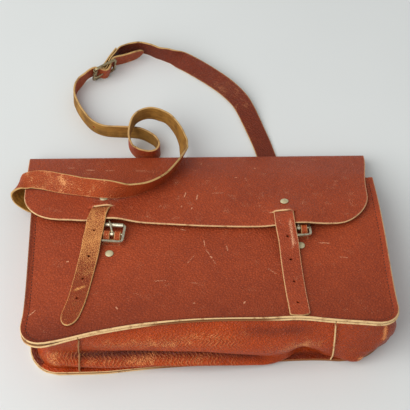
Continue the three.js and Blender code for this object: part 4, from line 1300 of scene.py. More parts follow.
@dataclass
class BackAndFlap(Piece):
    """Back, fold and flap in one leather, with a raised lip above each closing strap."""

    spacing: float = 2.9
    flap_spacing: float = 2.2
    past_fold: float = 40.0
    slit_half: float = 11.6
    lip: float = 3.2
    lip_reach: float = 6.5
    dip: float = 2.9
    dip_reach: float = 4.6

    def __post_init__(self) -> None:
        """Lay out the grid's lines, some of which run along the slits."""
        self.start = SIDE_VIEW.fold_s + self.past_fold
        self.span = float(SIDE_VIEW.length_to(0)) - self.start
        self.back = np.arange(0, self.start, self.spacing)
        self.cuts = {
            side: float((SIDE_VIEW.length_to(slit.y) - self.start) / self._flap_length(slit.x)) * self.span
            for side, slit in SLITS.items()
        }
        self.lines = merged(self.cuts.values(), [self.span], np.arange(0, self.span, self.flap_spacing))
        self.columns = merged(
            [slit.x + k for slit in SLITS.values() for k in (-self.slit_half, self.slit_half)],
            [FLAP_LEFT, FLAP_RIGHT, FLAP_LEFT + 1.5, FLAP_RIGHT - 1.5],
            np.arange(FLAP_LEFT, FLAP_RIGHT, self.spacing),
        )

    def _flap_length(self, x: Any) -> Any:
        """Length of the flap from its first row to its free edge."""
        return SIDE_VIEW.length_to(FLAP_EDGE.read("y", x)) - self.start

    def _flat(self) -> Array:
        """Lay out the grid.

        Returns:
            Flat places, row by row.
        """
        share = (self.columns - FLAP_LEFT) / (FLAP_RIGHT - FLAP_LEFT)
        middle, half = (FLAP_LEFT + FLAP_RIGHT) / 2, (FLAP_RIGHT - FLAP_LEFT) / 2
        rows = []
        for s in self.back:
            turn = smoothstep(s, 120, SIDE_VIEW.fold_s)
            left = mix(LEFT, FLAP_LEFT, turn) + round_in(BACK_CORNER.left, s)
            right = mix(RIGHT, FLAP_RIGHT, turn) - round_in(BACK_CORNER.right, s)
            rows.append((mix(left, right, share), np.full(len(share), s)))
        for line in self.lines:
            inset = round_in(FLAP_CORNER, (1 - line / self.span) * self._flap_length(self.columns))
            x = middle + (self.columns - middle) * (half - inset) / half
            length = self._flap_length(x) / self.span
            s = self.start + line * length
            for side, slit in SLITS.items():
                near = np.exp(-((x - slit.x) / 22) ** 4) * bell(line, self.cuts[side], 11)
                s = s + near * (slit.level(x) - self.start - self.cuts[side] * length)
            rows.append((x, s))
        return np.array([np.stack([drawn_in(x, s), s], -1) for x, s in rows])

    def _open(self, sheet: Sheet, side: Side) -> Array:
        """Cut a slit.

        Args:
            sheet: the sheet.
            side: which slit.

        Returns:
            Points of the sheet above the slit.
        """
        row = len(self.back) + int(np.abs(self.lines - self.cuts[side]).argmin())
        ends = [SLITS[side].x - self.slit_half, SLITS[side].x + self.slit_half]
        first, last = (int(np.abs(self.columns - end).argmin()) for end in ends)
        sheet.slit(row, first, last)
        return sheet.grid[:row + 1].ravel()

    def _rise(self, places: Array, slit: Slit, above: Array) -> Array:
        """How a slit's lips stand apart.

        Args:
            places: the sheet's flat places.
            slit: the slit.
            above: points above it.

        Returns:
            How far each point is lifted.
        """
        x, s = places.T
        rise = -self.dip * bell(s, slit.level(x), self.dip_reach)
        rise[above] = self.lip * bell(s, slit.level(x), self.lip_reach)[above]
        return rise * np.clip(1 - ((x - slit.x) / self.slit_half) ** 10, 0, 1) * (s > self.start)

    def build(self) -> None:
        """Make the sheet and place it."""
        sheet = Sheet("back_and_flap", self._flat(), back_point, PANEL_T, flip=True)
        above = {side: self._open(sheet, side) for side in SLITS}
        u, v = sheet.places.T
        soft = 0.5 * Ripple(3).at(u / 46, v / 40) + 0.16 * Ripple(4).at(u / 15, v / 13)
        rise = soft * smoothstep(v, self.start - 30, self.start + 20)
        rise += sum(self._rise(sheet.places, slit, above[side]) for side, slit in SLITS.items())
        sheet.lift = rise[:, None] * (0, 0, 1)
        # Painted shade on the back's raw edge along the bottom, right of about x -60.
        sheet.extra["dark_edge"] = smoothstep(u, -75, -45) * (v < 20)
        looks = [self.looks.flap, self.looks.inside, self.looks.edge]
        sheet.place("panel_leather", looks, "back_flap_panel")


class BucklePlace(NamedTuple):
    """Where a front buckle sits, how it is turned, and how far below its bar the rivet is."""

    x: float
    y: float
    turn: float
    rivet: float
    skew: float


BUCKLE_PLACES = {
    Side.LEFT: BucklePlace(-98.4, -4.2, -8.0, 22.4, 20.0),
    Side.RIGHT: BucklePlace(96.3, -2.0, 4.0, 19.5, 0.0),
}


def buckle_seat(side: Side) -> Array:
    """Seat of a front buckle on the panel's outer face."""
    place = BUCKLE_PLACES[side]
    return seated(front_top, place.x, place.y, place.turn)


@dataclass
class FrontPanel(Piece):
    """Front leather with its sewn margin turned up, and slits behind the buckles."""

    spacing: float = 2.7
    inner_columns: int = 132
    groove: float = 0.4
    skive: float = 0.9
    slit_low: float = -10.6
    slit_high: float = -4.6
    slit_half: float = 9.1

    def _surface(self, x: Array, y: Array) -> Array:
        """Places on the leather's middle, with soft dents and the stitched groove.

        Args:
            x: place across the flat panel.
            y: place up the flat panel.

        Returns:
            The places.
        """
        inset, _, _ = edge_of(x, y)
        points = front_point(x, y)
        soft = 0.55 * Ripple(11).at(x / 52, y / 44) + 0.16 * Ripple(12).at(x / 16, y / 14)
        points[:, 2] += soft * smoothstep(inset, MARGIN, 30) * 0.7
        points[:, 2] -= self.groove * bell(inset, STITCH_INSET, 0.9)
        return points

    def _flat(self) -> Array:
        """Lay out the grid, with close lines along the margin.

        Returns:
            Flat places, row by row.
        """
        fine = np.array([0, 0.8, 2, 3.4, 4.4, STITCH_INSET, 6.2, MARGIN, 8.2, 10])
        rows = []
        for y in BOTTOM + merged(fine, [MOUTH - BOTTOM], np.arange(12, MOUTH - BOTTOM, self.spacing)):
            inset = round_in(FRONT_CORNER.left, y - BOTTOM)
            left, right = LEFT + inset, RIGHT - inset
            inner = np.linspace(left + 12, right - 12, self.inner_columns)
            x = np.concatenate([left + fine, inner, right - fine[::-1]])
            rows.append(np.stack([x, np.full(len(x), y)], -1))
        return np.array(rows)

    def _buckle_slit(self, sheet: Sheet, place: BucklePlace) -> None:
        """Punch the slit that a buckle's tab passes through.

        Args:
            sheet: the panel.
            place: where the buckle sits.
        """
        flat_y = 2 * place.y - front_form(np.array(place.x), np.array(place.y))[1]
        c, s = math.cos(math.radians(place.turn)), math.sin(math.radians(place.turn))
        middle, turn = np.array([place.x, flat_y]), np.array([(c, -s), (s, c)])
        bounds = np.array([(-self.slit_half, self.slit_low), (self.slit_half, self.slit_high)])

        def inside(places: Array) -> Array:
            """Places in the slit."""
            local = (places - middle) @ turn
            return ((local > bounds[0]) & (local < bounds[1])).all(1)

        def snap(places: Array) -> Array:
            """Draw places to the nearest side of the slit.

            Args:
                places: the places.

            Returns:
                The drawn places.
            """
            local = (places - middle) @ turn
            nearest = np.abs(local[:, :, None] - bounds.T).reshape(-1, 4).argmin(1)
            drawn = np.clip(local, *bounds)
            drawn[np.arange(len(drawn)), nearest // 2] = bounds[nearest % 2, nearest // 2]
            return middle + drawn @ turn.T

        sheet.punch(inside, snap)

    def build(self) -> None:
        """Make the sheet and place it."""
        flat = self._flat()
        inset, _, _ = edge_of(flat[..., 0], flat[..., 1])
        middle = np.exp(-((flat[..., 0] - 12) / 62) ** 4) * (flat[..., 1] < BOTTOM + 12)
        thick = PANEL_T - self.skive * middle * (1 - smoothstep(inset, 0, 4))
        sheet = Sheet("front_leather_panel", flat, self._surface, thick.ravel())
        for place in BUCKLE_PLACES.values():
            self._buckle_slit(sheet, place)
        u, v = sheet.places.T
        # Painted shade: darker towards the bottom and in the lower left corner. A strip along the left edge
        # is darkened too, and so is its raw edge.
        beside = smoothstep(-u, -LEFT - 6, -LEFT - 1) * smoothstep(v, -100, -80)
        corner = bell(u, -160, 70) * smoothstep(-v, 92, 124)
        sheet.extra["dark_edge"] = beside
        sheet.extra["painted_shade"] = np.maximum(0.26 * smoothstep(-v, 30, 118) + 0.3 * corner, 0.6 * beside)
        looks = [self.looks.front, self.looks.inside, self.looks.edge]
        sheet.place("panel_leather", looks, "front_panel")


def gusset_frame(q: Array) -> dict[str, Array]:
    """Roots, flange directions and ways out of the gusset.

    Args:
        q: places along it.

    Returns:
        Vectors by name, one for each place.
    """
    x, y, nx, ny = seam_place(q, FRONT_CORNER)
    bx, by, bnx, bny = seam_place(np.clip(q + GUSSET_FOLDS.read("lag", q), 0, 5), BACK_CORNER)
    turn = margin_turn(x, y, ny)
    out = np.stack([nx, ny, 0 * nx], -1)
    up = np.array([0, 0, 1.0])
    cos, sin = np.cos(turn)[:, None], np.sin(turn)[:, None]
    apart = (PANEL_T + GUSSET_T) / 2 + GAP
    return {
        "out": out,
        "flange": out * cos + up * sin,
        "under": out * sin - up * cos,
        "front": front_form(x, y) + (out * sin - up * cos) * apart,
        "back": np.stack([bx, by - sag_at(bx, by), np.full(len(bx), PANEL_T + GAP + GUSSET_T / 2)], -1),
        "back_out": np.stack([bnx, bny, 0 * bnx], -1),
    }


@dataclass
class Gusset(Piece):
    """Sides and bottom in three leathers, folded inward, with raised seams between them."""

    across: int = 46
    flange_rows: int = 5
    wrinkle: float = 0.75
    ridge: float = 2.6
    welt: float = 3.4
    welt_t: float = 1.5
    seam: float = 0.002

    def _lines(self) -> Array:
        """Grid lines across the gusset: -1-0 the front flange, 0-5 the web, 5-6 the back flange."""
        flange = np.linspace(0, 1, self.flange_rows)[1:]
        return np.concatenate([-flange[::-1], np.linspace(0, 5, self.across), 5 + flange])

    def _surface(self, q: Array, w: Array) -> Array:
        """Places on the leather's middle for the whole of a grid."""
        count = len(self._lines())
        return self._sections(q[::count], w[:count]).reshape(-1, 3)

    def _sections(self, q: Array, w: Array) -> Array:
        """Sections across the gusset.

        Args:
            q: where the sections are along it.
            w: where each is read across it.

        Returns:
            Places, section by section.
        """
        part = gusset_frame(q)
        span = part["front"] - part["back"]
        ways = [part["front"]]
        rise = GUSSET_FOLDS.read("rise", q)[:, None]
        for name, share in FOLD_AT.items():
            stand = GUSSET_FOLDS.read(name, q)[:, None] * part["out"]
            ways.append(part["back"] + span * (share + FOLD_RISE[name] * rise) + stand)
        control = np.stack([*ways, part["back"]], axis=-2)
        inner = np.clip(w, 0, 5)
        places, heading = catmull(control, inner)
        side = unit(np.cross(heading, np.gradient(places, axis=0)))
        free = smoothstep(inner, 0, 0.8) * (1 - smoothstep(inner, 4.4, 5))
        run = q[:, None] * 90
        long = Ripple(21).at(run / 34 + 0 * inner, inner * 1.3 + 0 * run)
        slant = Ripple(22).at(run / 9 + inner * 1.2, inner * 1.8 - run / 16)
        ridge_at = mix(3.45, 3.08, smoothstep(inner, 0, 4.2))
        ridge = self.ridge * np.exp(-np.abs((q[:, None] - ridge_at) / 0.16) ** 1.5)
        push = (self.wrinkle * (long + 0.55 * slant) + ridge) * free
        places = places + side * push[..., None]
        reach = (MARGIN - 0.6 + GUSSET_PEEK.read("reach", q))[:, None, None]
        drop = GUSSET_PEEK.read("drop", q)[:, None, None] * part["under"][:, None, :]
        ahead = np.clip(-w, 0, 1)[None, :, None]
        front = ahead * reach * part["flange"][:, None, :] + ahead * drop
        back = np.clip(w - 5, 0, 1)[None, :, None] * (MARGIN - 0.6) * part["back_out"][:, None, :]
        return places + front + back

    def _wear(self, q: Array, w: Array) -> dict[str, Array]:
        """How the leather has worn, and where shade and tick highlights are painted.

        Args:
            q: places along the gusset.
            w: places across it.

        Returns:
            Numbers for each place by the names that the finish reads.
        """
        # Painted shade on the front flange's raw edge, where it tucks under the front panel.
        tucked_flange_shade = smoothstep(q, 2.28, 2.34) * smoothstep(-q, -2.74, -2.66) * (w < 0)
        # Painted shade: the crease under the lip, the recess at the left corner, under the front edge and low
        # by the back at the right, and the right part, which turns from the lamp.
        painted_shade = (
            0.95 * bell(w, 3.38, 0.24) * band(q, 2.05, 2.7),
            0.85 * smoothstep(w, 4.5, 5) * band(q, 0.95, 1.62),
            0.55 * bell(w, 0.4, 0.22) * band(q, 2.6, 2.86),
            0.34 * smoothstep(q, 2.86, 3.0),
            0.62 * smoothstep(w, 4.3, 4.9) * band(q, 2.6, 2.95),
        )
        # Where the ticks show, with painted highlights: on the lobe, on the roll and at the left bottom.
        pressed_highlit = (
            bell(w, 0.9, 0.42) * band(q, 2.1, 2.64),
            bell(w, 3.8, 0.4) * band(q, 1.6, 2.64),
            bell(w, 3.5, 0.9) * band(q, 1.66, 2.2),
        )
        return {
            "rub_and_sheen": scuffs(np.stack([q, w], -1), GUSSET_MARKS),
            # the back flange's raw edge along the bottom gets painted shade as well
            "dark_edge": np.maximum(tucked_flange_shade, smoothstep(q, 2.2, 2.4) * (w > 5)),
            "painted_shade": np.max(painted_shade, axis=0),
            "pressed_highlit": np.max(pressed_highlit, axis=0),
        }

    def build(self) -> None:
        """Make the three sheets and the raised seams."""
        self._leather("left", np.linspace(0, SEAM_LEFT - self.seam, 96))
        self._leather("bottom", np.linspace(SEAM_LEFT + self.seam, SEAM_RIGHT - self.seam, 120))
        self._leather("right", np.linspace(SEAM_RIGHT + self.seam, 5, 96))
        self._welt(Side.LEFT, SEAM_LEFT)
        self._welt(Side.RIGHT, SEAM_RIGHT)

    def _leather(self, name: str, stops: Array) -> None:
        """Make one of the three sheets.

        Args:
            name: which one.
            stops: its grid lines along the gusset.
        """
        lines = self._lines()
        points = self._sections(stops, lines)
        run, deep = lengths_along(points[:, len(lines) // 2]), lengths_along(points.mean(0))

        def layout(q: Array, w: Array) -> Array:
            """Places on the flat leather."""
            return np.stack([np.interp(q, stops, run), np.interp(w, lines, deep)], -1)

        flat = np.stack(np.meshgrid(stops, lines, indexing="ij"), -1)
        sheet = Sheet(f"gusset_{name}_leather", flat, self._surface, GUSSET_T, uv=layout)
        sheet.extra = self._wear(*sheet.places.T)
        looks = [self.looks.gusset, self.looks.inside, self.looks.edge]
        sheet.place("gusset_leather", looks, f"gusset_{name}")

    def _welt(self, side: Side, q: float) -> None:
        """Make the raised seam between two leathers.

        Args:
            side: which seam.
            q: its place along the gusset.
        """
        stops = np.linspace(0.12, 4.9, 48)
        points = self._sections(np.array([q - 0.004, q, q + 0.004]), stops)
        out = unit(np.cross(unit(np.gradient(points[1], axis=0)), unit(points[2] - points[0])))
        rise = np.linspace(0.2, 1, 5) * self.welt

        def surface(w: Array, h: Array) -> Array:
            """Places on the seam's middle."""
            i = np.clip(np.searchsorted(stops, w - 1e-9), 0, len(stops) - 1)
            return points[1][i] + out[i] * (GUSSET_T / 2 + h)[:, None]

        def layout(w: Array, h: Array) -> Array:
            """Places on the flat strip."""
            return np.stack([w * 12, h], -1)

        flat = np.stack(np.meshgrid(stops, rise, indexing="ij"), -1)
        sheet = Sheet(f"gusset_seam_{side.value}", flat, surface, self.welt_t, uv=layout, wear_reach=1.2)
        sheet.extra["dark_edge"] = np.full(len(sheet.places), 0.85 if side is Side.LEFT else 0.0)
        looks = [self.looks.gusset, self.looks.gusset, self.looks.edge]
        sheet.place("gusset_leather", looks)


@dataclass
class Strip:
    """A strap along stations, as wide and thick as its sizes say."""

    rows: Sequence[Row]
    width: Callable[[Array, float], Array]
    thick: Callable[[Array, float], Array]
    step: float = 1.8
    columns: int = 13

    def __post_init__(self) -> None:
        """Run a smooth line through the stations."""
        places = np.array([(r.x, r.y, r.z) for r in self.rows], float)
        lean = np.radians([r.lean for r in self.rows])
        toward = np.radians([r.toward for r in self.rows])
        tilts = np.stack([np.sin(lean) * np.cos(toward), np.sin(lean) * np.sin(toward), np.cos(lean)], -1)
        apart = np.linalg.norm(np.diff(places, axis=0), axis=1)
        stops = np.concatenate([
            i + np.arange(n) / n for i, n in enumerate(np.ceil(apart / self.step).astype(int))
        ] + [[len(places) - 1]])
        self.middle, along = catmull(places, stops)
        i = np.minimum(stops.astype(int), len(places) - 2)
        k = smoothstep(stops - i, 0, 1)[:, None]
        across = mix(tilts[i], tilts[i + 1], k)
        self.across = unit(across - along * (across * along).sum(1, keepdims=True))
        self.length = lengths_along(self.middle)
        self.total = float(self.length[-1])

    def point(self, run: Array, side: Array) -> Array:
        """Places at a length along the strap and a distance across it."""
        across = read_along(self.across, self.length, run)
        return read_along(self.middle, self.length, run) + across * side[:, None]

    def sheet(self, name: str) -> Sheet:
        """The strap as a sheet.

        Args:
            name: the piece's name.

        Returns:
            The sheet, its flat places being length and distance across.
        """
        half = self.width(self.length, self.total) / 2
        share = np.sin(np.linspace(-1, 1, self.columns) * np.pi / 2 * 0.8) / math.sin(np.pi / 2 * 0.8)
        run = np.broadcast_to(self.length[:, None], (len(half), self.columns))
        flat = np.stack([run, half[:, None] * share], -1)
        thick = np.repeat(self.thick(self.length, self.total), self.columns)
        return Sheet(name, flat, self.point, thick, flip=True, wear_reach=1.6)


def pointed(width: float, tip: float) -> Callable[[Array, float], Array]:
    """Width of a strap with a rounded tip.

    Args:
        width: the strap's width.
        tip: how long the tip is.

    Returns:
        A function of lengths along the strap and its whole length.
    """
    def size(run: Array, total: float) -> Array:
        """Width at lengths along the strap."""
        left = np.clip((total - run) / tip, 0.012, 1)
        return width * np.sqrt(1 - (1 - left) ** 2)
    return size


def even(thickness: float) -> Callable[[Array, float], Array]:
    """Thickness that doesn't change."""
    return lambda run, total: np.full(len(run), thickness)


def round_hole(sheet: Sheet, run: float, side: float, radius: float) -> None:
    """Punch a round hole through a strap.

    Args:
        sheet: the strap.
        run: length along it to the hole.
        side: the hole's distance from its middle.
        radius: the hole's radius.
    """
    centre = np.array([run, side])

    def snap(places: Array) -> Array:
        """Places drawn to the hole's rim."""
        return centre + unit(places - centre) * radius

    # the hole's walls take the darker grain material, painted shade
    sheet.punch(lambda places: np.linalg.norm(places - centre, axis=1) < radius * 0.98, snap, dark=True)


# Stations of the closing straps, as x, y and lift, and what each lies on
CLOSING_ROWS = {
    Side.LEFT: (
        (-107.2, 54, 0), (-108.4, 46.3, 0), (-109.7, 38, -1.1), (-110.8, 32.2, 0), (-112, 26.6, 0.4),
        (-113.7, 19.5, 1.3), (-116.2, 9, 9.5), (-117.5, 0, 7.9), (-119.5, -11, 7), (-121.7, -26, 3.6),
        (-125, -42, 0.9), (-128.6, -60, 0.1), (-134.2, -85, 0), (-139.6, -101, 0.2), (-144, -114, 0.9),
    ),
    Side.RIGHT: (
        (84.2, 41, 0), (83.6, 33.6, 0), (82.5, 24, -1.3), (81.9, 18.2, 0), (81.6, 12.6, 0.3),
        (81.9, 5.5, 0.8), (82.7, -3, 10.4), (83.9, -12, 7.6), (84.9, -21, 5.4), (85.6, -33, 2.2),
        (86.3, -47, 0.4), (87.4, -66, 0), (89, -88, 0), (90.2, -101, 0.1), (91, -112.8, 0.5),
    ),
}
LAID_ON = [On.UNDER] * 3 + [On.SLIT] + [On.FLAP] * 2 + [On.PANEL] * 9
CLOSING_HOLES = {Side.LEFT: (0, -30.8, -58, -82.2), Side.RIGHT: (-14.3, -41.6, -69.4, -96.4)}
CLOSING_WIDTHS = {Side.LEFT: 18.5, Side.RIGHT: 20.0}
CLOSING_TIPS = {Side.LEFT: 15.0, Side.RIGHT: 2.2}
FLAP_RIVETS = {Side.LEFT: (-108.4, 46.3), Side.RIGHT: (83.6, 33.6)}


@dataclass
class ClosingStrap(Piece):
    """A pointed strap with punched holes that comes out of a slit in the flap."""

    side: Side

    def _rows(self) -> list[Row]:
        """Lay the stations on the flap and the front panel.

        Returns:
            The stations.
        """
        apart = (PANEL_T + STRAP_T) / 2 + GAP + 0.7
        rises = {On.UNDER: -apart, On.SLIT: 0, On.FLAP: apart, On.PANEL: GAP + 0.2 + STRAP_T / 2}
        rows = []
        for on, (x, y, lift) in zip(LAID_ON, CLOSING_ROWS[self.side]):
            under = front_top if on is On.PANEL else flap_middle
            slope = float(under(x + 8, y) - under(x - 8, y)) / 16
            height = float(under(x, y)) + rises[on] + lift
            rows.append(Row(x, y, height, 90 - math.degrees(math.atan(slope)), 0))
        return rows

    def build(self) -> None:
        """Make the strap and place it."""
        width = pointed(CLOSING_WIDTHS[self.side], CLOSING_TIPS[self.side])
        strip = Strip(self._rows(), width, even(STRAP_T), step=1.3)
        sheet = strip.sheet(f"closing_strap_{self.side.value}_leather")

        def run_to(y: float) -> float:
            """Length along the strap to a place down the bag."""
            return float(np.interp(-y, -strip.middle[:, 1], strip.length))

        for y in CLOSING_HOLES[self.side]:
            round_hole(sheet, run_to(y), 0, HOLE_R)
        round_hole(sheet, run_to(FLAP_RIVETS[self.side][1]), 0, RIVET_HOLE_R)
        run, across = sheet.places.T
        if self.side is Side.LEFT:
            rub = mix(0.62, 0.74, smoothstep(run, 40, 62)) * smoothstep(run, 18, 30)
            rub = rub * (1 - 0.62 * smoothstep(run, 70, 140))
            rub = np.maximum(rub, scuffs(sheet.places, [Mark(run_to(-70), 0, 16, 2.2, 125, 0.9)]))
        else:
            streak = bell(across + (run - 62) * 0.05, 4.5, 2.2)
            rub = 0.9 * streak * smoothstep(run, 34, 52) * (1 - smoothstep(run, 66, 80))
        sheet.extra["rub_and_sheen"] = rub
        grain = self.looks.tan_strap if self.side is Side.LEFT else self.looks.red_strap
        looks = [grain, self.looks.suede, self.looks.hem]
        sheet.place("strap_leather", looks, f"closing_strap_{self.side.value}")


STRAP_LONG = tuple(Row(*row) for row in (
    (-171.8, 56.5, 10.5, 90, 90), (-172, 56.5, 16.5, 90, 90), (-177, 57, 22.2, 90, 90),
    (-186, 60.5, 23.8, 90, 80), (-194.5, 65, 25, 90, 70), (-202.2, 70.5, 28.5, 90, 63),
    (-204.4, 74, 36, 90, 61), (-198.6, 77.4, 44, 88, 66), (-188.5, 78, 47.4, 84, 74),
    (-177, 75.8, 50.6, 75, 82), (-154.4, 67, 56, 56, 90), (-128.6, 57.5, 62.4, 36, 90),
    (-107, 49.4, 70, 32, 85), (-79.5, 50, 65, 5, 40), (-58.9, 58, 61.4, 10, -82),
    (-43.4, 71.5, 56, 14, -75), (-27, 101.5, 42.8, 16, -68), (-21.8, 122.5, 30.4, 27, -60),
    (-22.3, 137, 26.2, 40, -57), (-27, 153, 26.6, 36, -48), (-38.3, 170, 28, 20, -31),
    (-49.2, 176, 28.8, 14, -10), (-59.5, 178, 29.6, 8, 0), (-70.5, 173.7, 31, 5, 0),
    (-78, 164.8, 32.2, 2, 0), (-81.6, 155, 28, 2, -90), (-82, 147.5, 20, 3, -90),
    (-79.4, 141, 14, 3, -90), (-73.8, 136, 11.3, 2, -90), (-66, 132.6, 10.8, 0, 0),
    (-58.5, 131.6, 10.8, 0, 0), (-52.2, 134.4, 10.8, 0, 0), (-49.3, 142, 10.8, 0, 0),
    (-53.6, 151.8, 10.7, 0, 0), (-61.7, 158.7, 10.6, 0, 0), (-70.6, 163.5, 10.6, 0, 0),
    (-80, 165.4, 10.6, 0, 0), (-94, 166.5, 10.6, 0, 0), (-111.5, 168.6, 10.6, 2, -90),
    (-124.3, 175.6, 10.6, 3, -60), (-135.5, 190, 10.6, 3, -40), (-143.4, 206, 10.6, 3, -20),
    (-146.6, 217.5, 10.6, 3, 0), (-145.6, 229, 10.6, 3, 0), (-141, 238, 10.6, 3, 0),
))
STRAP_SHORT = tuple(Row(*row) for row in (
    (-85, 286.2, 10.7, 2, -40), (-72.4, 288.6, 10.7, 4, -60), (-60, 285.3, 10.7, 9, -30),
    (-49.3, 279.5, 10.7, 14, -20), (-35.5, 274.3, 10.9, 22, 10), (-19.2, 267.5, 8.6, 50, 42),
    (-0.2, 254.8, 7.3, 59, 47), (14.2, 243.3, 6.9, 62, 42), (28.9, 229.8, 6.6, 64, 38),
    (43.5, 212, 5.5, 71, 24), (50.2, 199, 4.1, 79, 8), (56, 183.5, 2.9, 86, -8),
    (60.8, 169.5, 2.2, 90, -14), (66.3, 153, 1.6, 90, -14), (71, 135.5, 1.6, 90, -12),
    (75.5, 118, 1.6, 90, -12), (78, 107, 1.6, 90, -12),
))
SHOULDER_AT = (-112.5, 252.5, 14.8)
SHOULDER_HEADING = 32.0
SHOULDER_LEAN = 13.0
TONGUE = (
    (-21, -4.6, 12.2), (-13, -4.6, 14.2), (-10, -3.6, 14.6), (-6, 0.4, 14.6), (-2.4, 4.6, 14.6),
    (1, 5.4, 14.6), (5, 3.4, 14.6), (9, -0.4, 14.6), (13.4, -3.8, 14.4), (17, -4.3, 13.6), (24, -3.4, 12),
    (33, -1.8, 11), (43, -0.4, 10.7), (54, 0.4, 10.7),
)
CHAPE = (
    (24, -14.2, 14), (18, -11.4, 14.6), (11.5, -8.4, 14.8), (4.6, -4.7, 14.8), (0, -2.5, 14.8),
    (-1.75, -1.75, 14.8), (-2.45, 0, 14.8), (-1.75, 1.75, 14.8), (0, 2.45, 14.8), (3.6, 0.6, 14.8),
    (7.6, -3.2, 14.8), (12.6, -6.6, 14.6), (20, -9.9, 13.2), (30, -14, 11.4),
)
STRAP_HOLE = (-123.4, 175.0)
TONGUE_TIP = 15.0


def shoulder_seat() -> Array:
    """Seat of the shoulder buckle, which leans toward the bag.

    Returns:
        The seat's matrix, with x up, y back along the strap and z out of it.
    """
    turn, lean = math.radians(SHOULDER_HEADING), math.radians(SHOULDER_LEAN)
    toward, up = np.array([math.sin(turn), -math.cos(turn), 0]), np.array([0, 0, 1.0])
    seat = np.eye(4)
    seat[:3, 0] = up * math.cos(lean) + toward * math.sin(lean)
    seat[:3, 1] = -math.cos(turn), -math.sin(turn), 0
    seat[:3, 2] = toward * math.cos(lean) - up * math.sin(lean)
    seat[:3, 3] = SHOULDER_AT
    return seat


def beside_buckle(stations: Iterable[Sequence[float]]) -> list[Row]:
    """Strap stations beside the shoulder buckle.

    Args:
        stations: distance past the buckle's bar, distance out from it, and height of each.

    Returns:
        The stations in the bag's frame.
    """
    seat = shoulder_seat()
    rows = []
    for u, n, z in stations:
        place = seat[:3, 3] - seat[:3, 1] * u + seat[:3, 2] * n + seat[:3, 0] * (z - SHOULDER_AT[2])
        rows.append(Row(*place, SHOULDER_LEAN, SHOULDER_HEADING - 90))
    return rows


@dataclass
class ShoulderStrap(Piece):
    """The two halves of the shoulder strap."""

    slot_half: float = 2.4

    def build(self) -> None:
        """Make both halves and place them."""
        self._long()
        self._short()

    def _long(self) -> None:
        """The long half, from the gusset over the flap and the table to its tongue."""
        strip = Strip([*STRAP_LONG, *beside_buckle(TONGUE)], pointed(STRAP_W, TONGUE_TIP), even(STRAP_T))
        sheet = strip.sheet("shoulder_strap_long_leather")
        hole = np.hypot(strip.middle[:, 0] - STRAP_HOLE[0], strip.middle[:, 1] - STRAP_HOLE[1]).argmin()
        round_hole(sheet, float(strip.length[hole]), 0, 1.7)
        seat = shoulder_seat()
        past = np.abs((seat[:3, 3] - strip.middle) @ seat[:3, 1] + 3.5)
        at_prong = np.argmin(past + 1e3 * (strip.length < strip.total - 90))
        round_hole(sheet, float(strip.length[at_prong]), 0.4, 1.9)
        run, across = sheet.places.T
        sheet.extra["rub_and_sheen"] = 0.46 * bell(run, 112, 46) * (0.7 + 0.3 * bell(across, 0, 7))
        looks = [self.looks.shoulder, self.looks.suede, self.looks.old_hem]
        sheet.place("strap_leather", looks, "shoulder_strap_long")

    def _short(self) -> None:
        """The short half, folded round the buckle's bar and run under the back."""
        def width(run: Array, total: float) -> Array:
            """Width at lengths along the strap."""
            return STRAP_W - 2.5 * smoothstep(70 - run, 0, 25)

        def thick(run: Array, total: float) -> Array:
            """Thickness at lengths along the strap."""
            return mix(SKIVED_T, STRAP_T, smoothstep(run, 66, 90))

        strip = Strip([*beside_buckle(CHAPE), *STRAP_SHORT], width, thick)
        sheet = strip.sheet("shoulder_strap_short_leather")
        seat = shoulder_seat()
        past = (seat[:3, 3] - strip.middle) @ seat[:3, 1]
        wrap = strip.length[(past < 7.4) & (strip.length < 75)]

        def inside(places: Array) -> Array:
            """Places in the prong's slot."""
            run, across = places.T
            return (run > wrap.min()) & (run < wrap.max()) & (np.abs(across) < self.slot_half)

        def snap(places: Array) -> Array:
            """Draw places to the slot's sides.

            Args:
                places: the places.

            Returns:
                The drawn places.
            """
            drawn = places.copy()
            side = np.abs(places[:, 1]) > 0.6
            drawn[side, 1] = np.sign(places[side, 1]) * self.slot_half
            return drawn

        sheet.punch(inside, snap)
        # Painted sheen along the middle of the short half.
        sheet.extra["rub_and_sheen"] = 0.34 * bell(sheet.places[:, 0], 215, 38)
        looks = [self.looks.dark_strap, self.looks.suede, self.looks.old_hem]
        sheet.place("strap_leather", looks, "shoulder_strap_short")


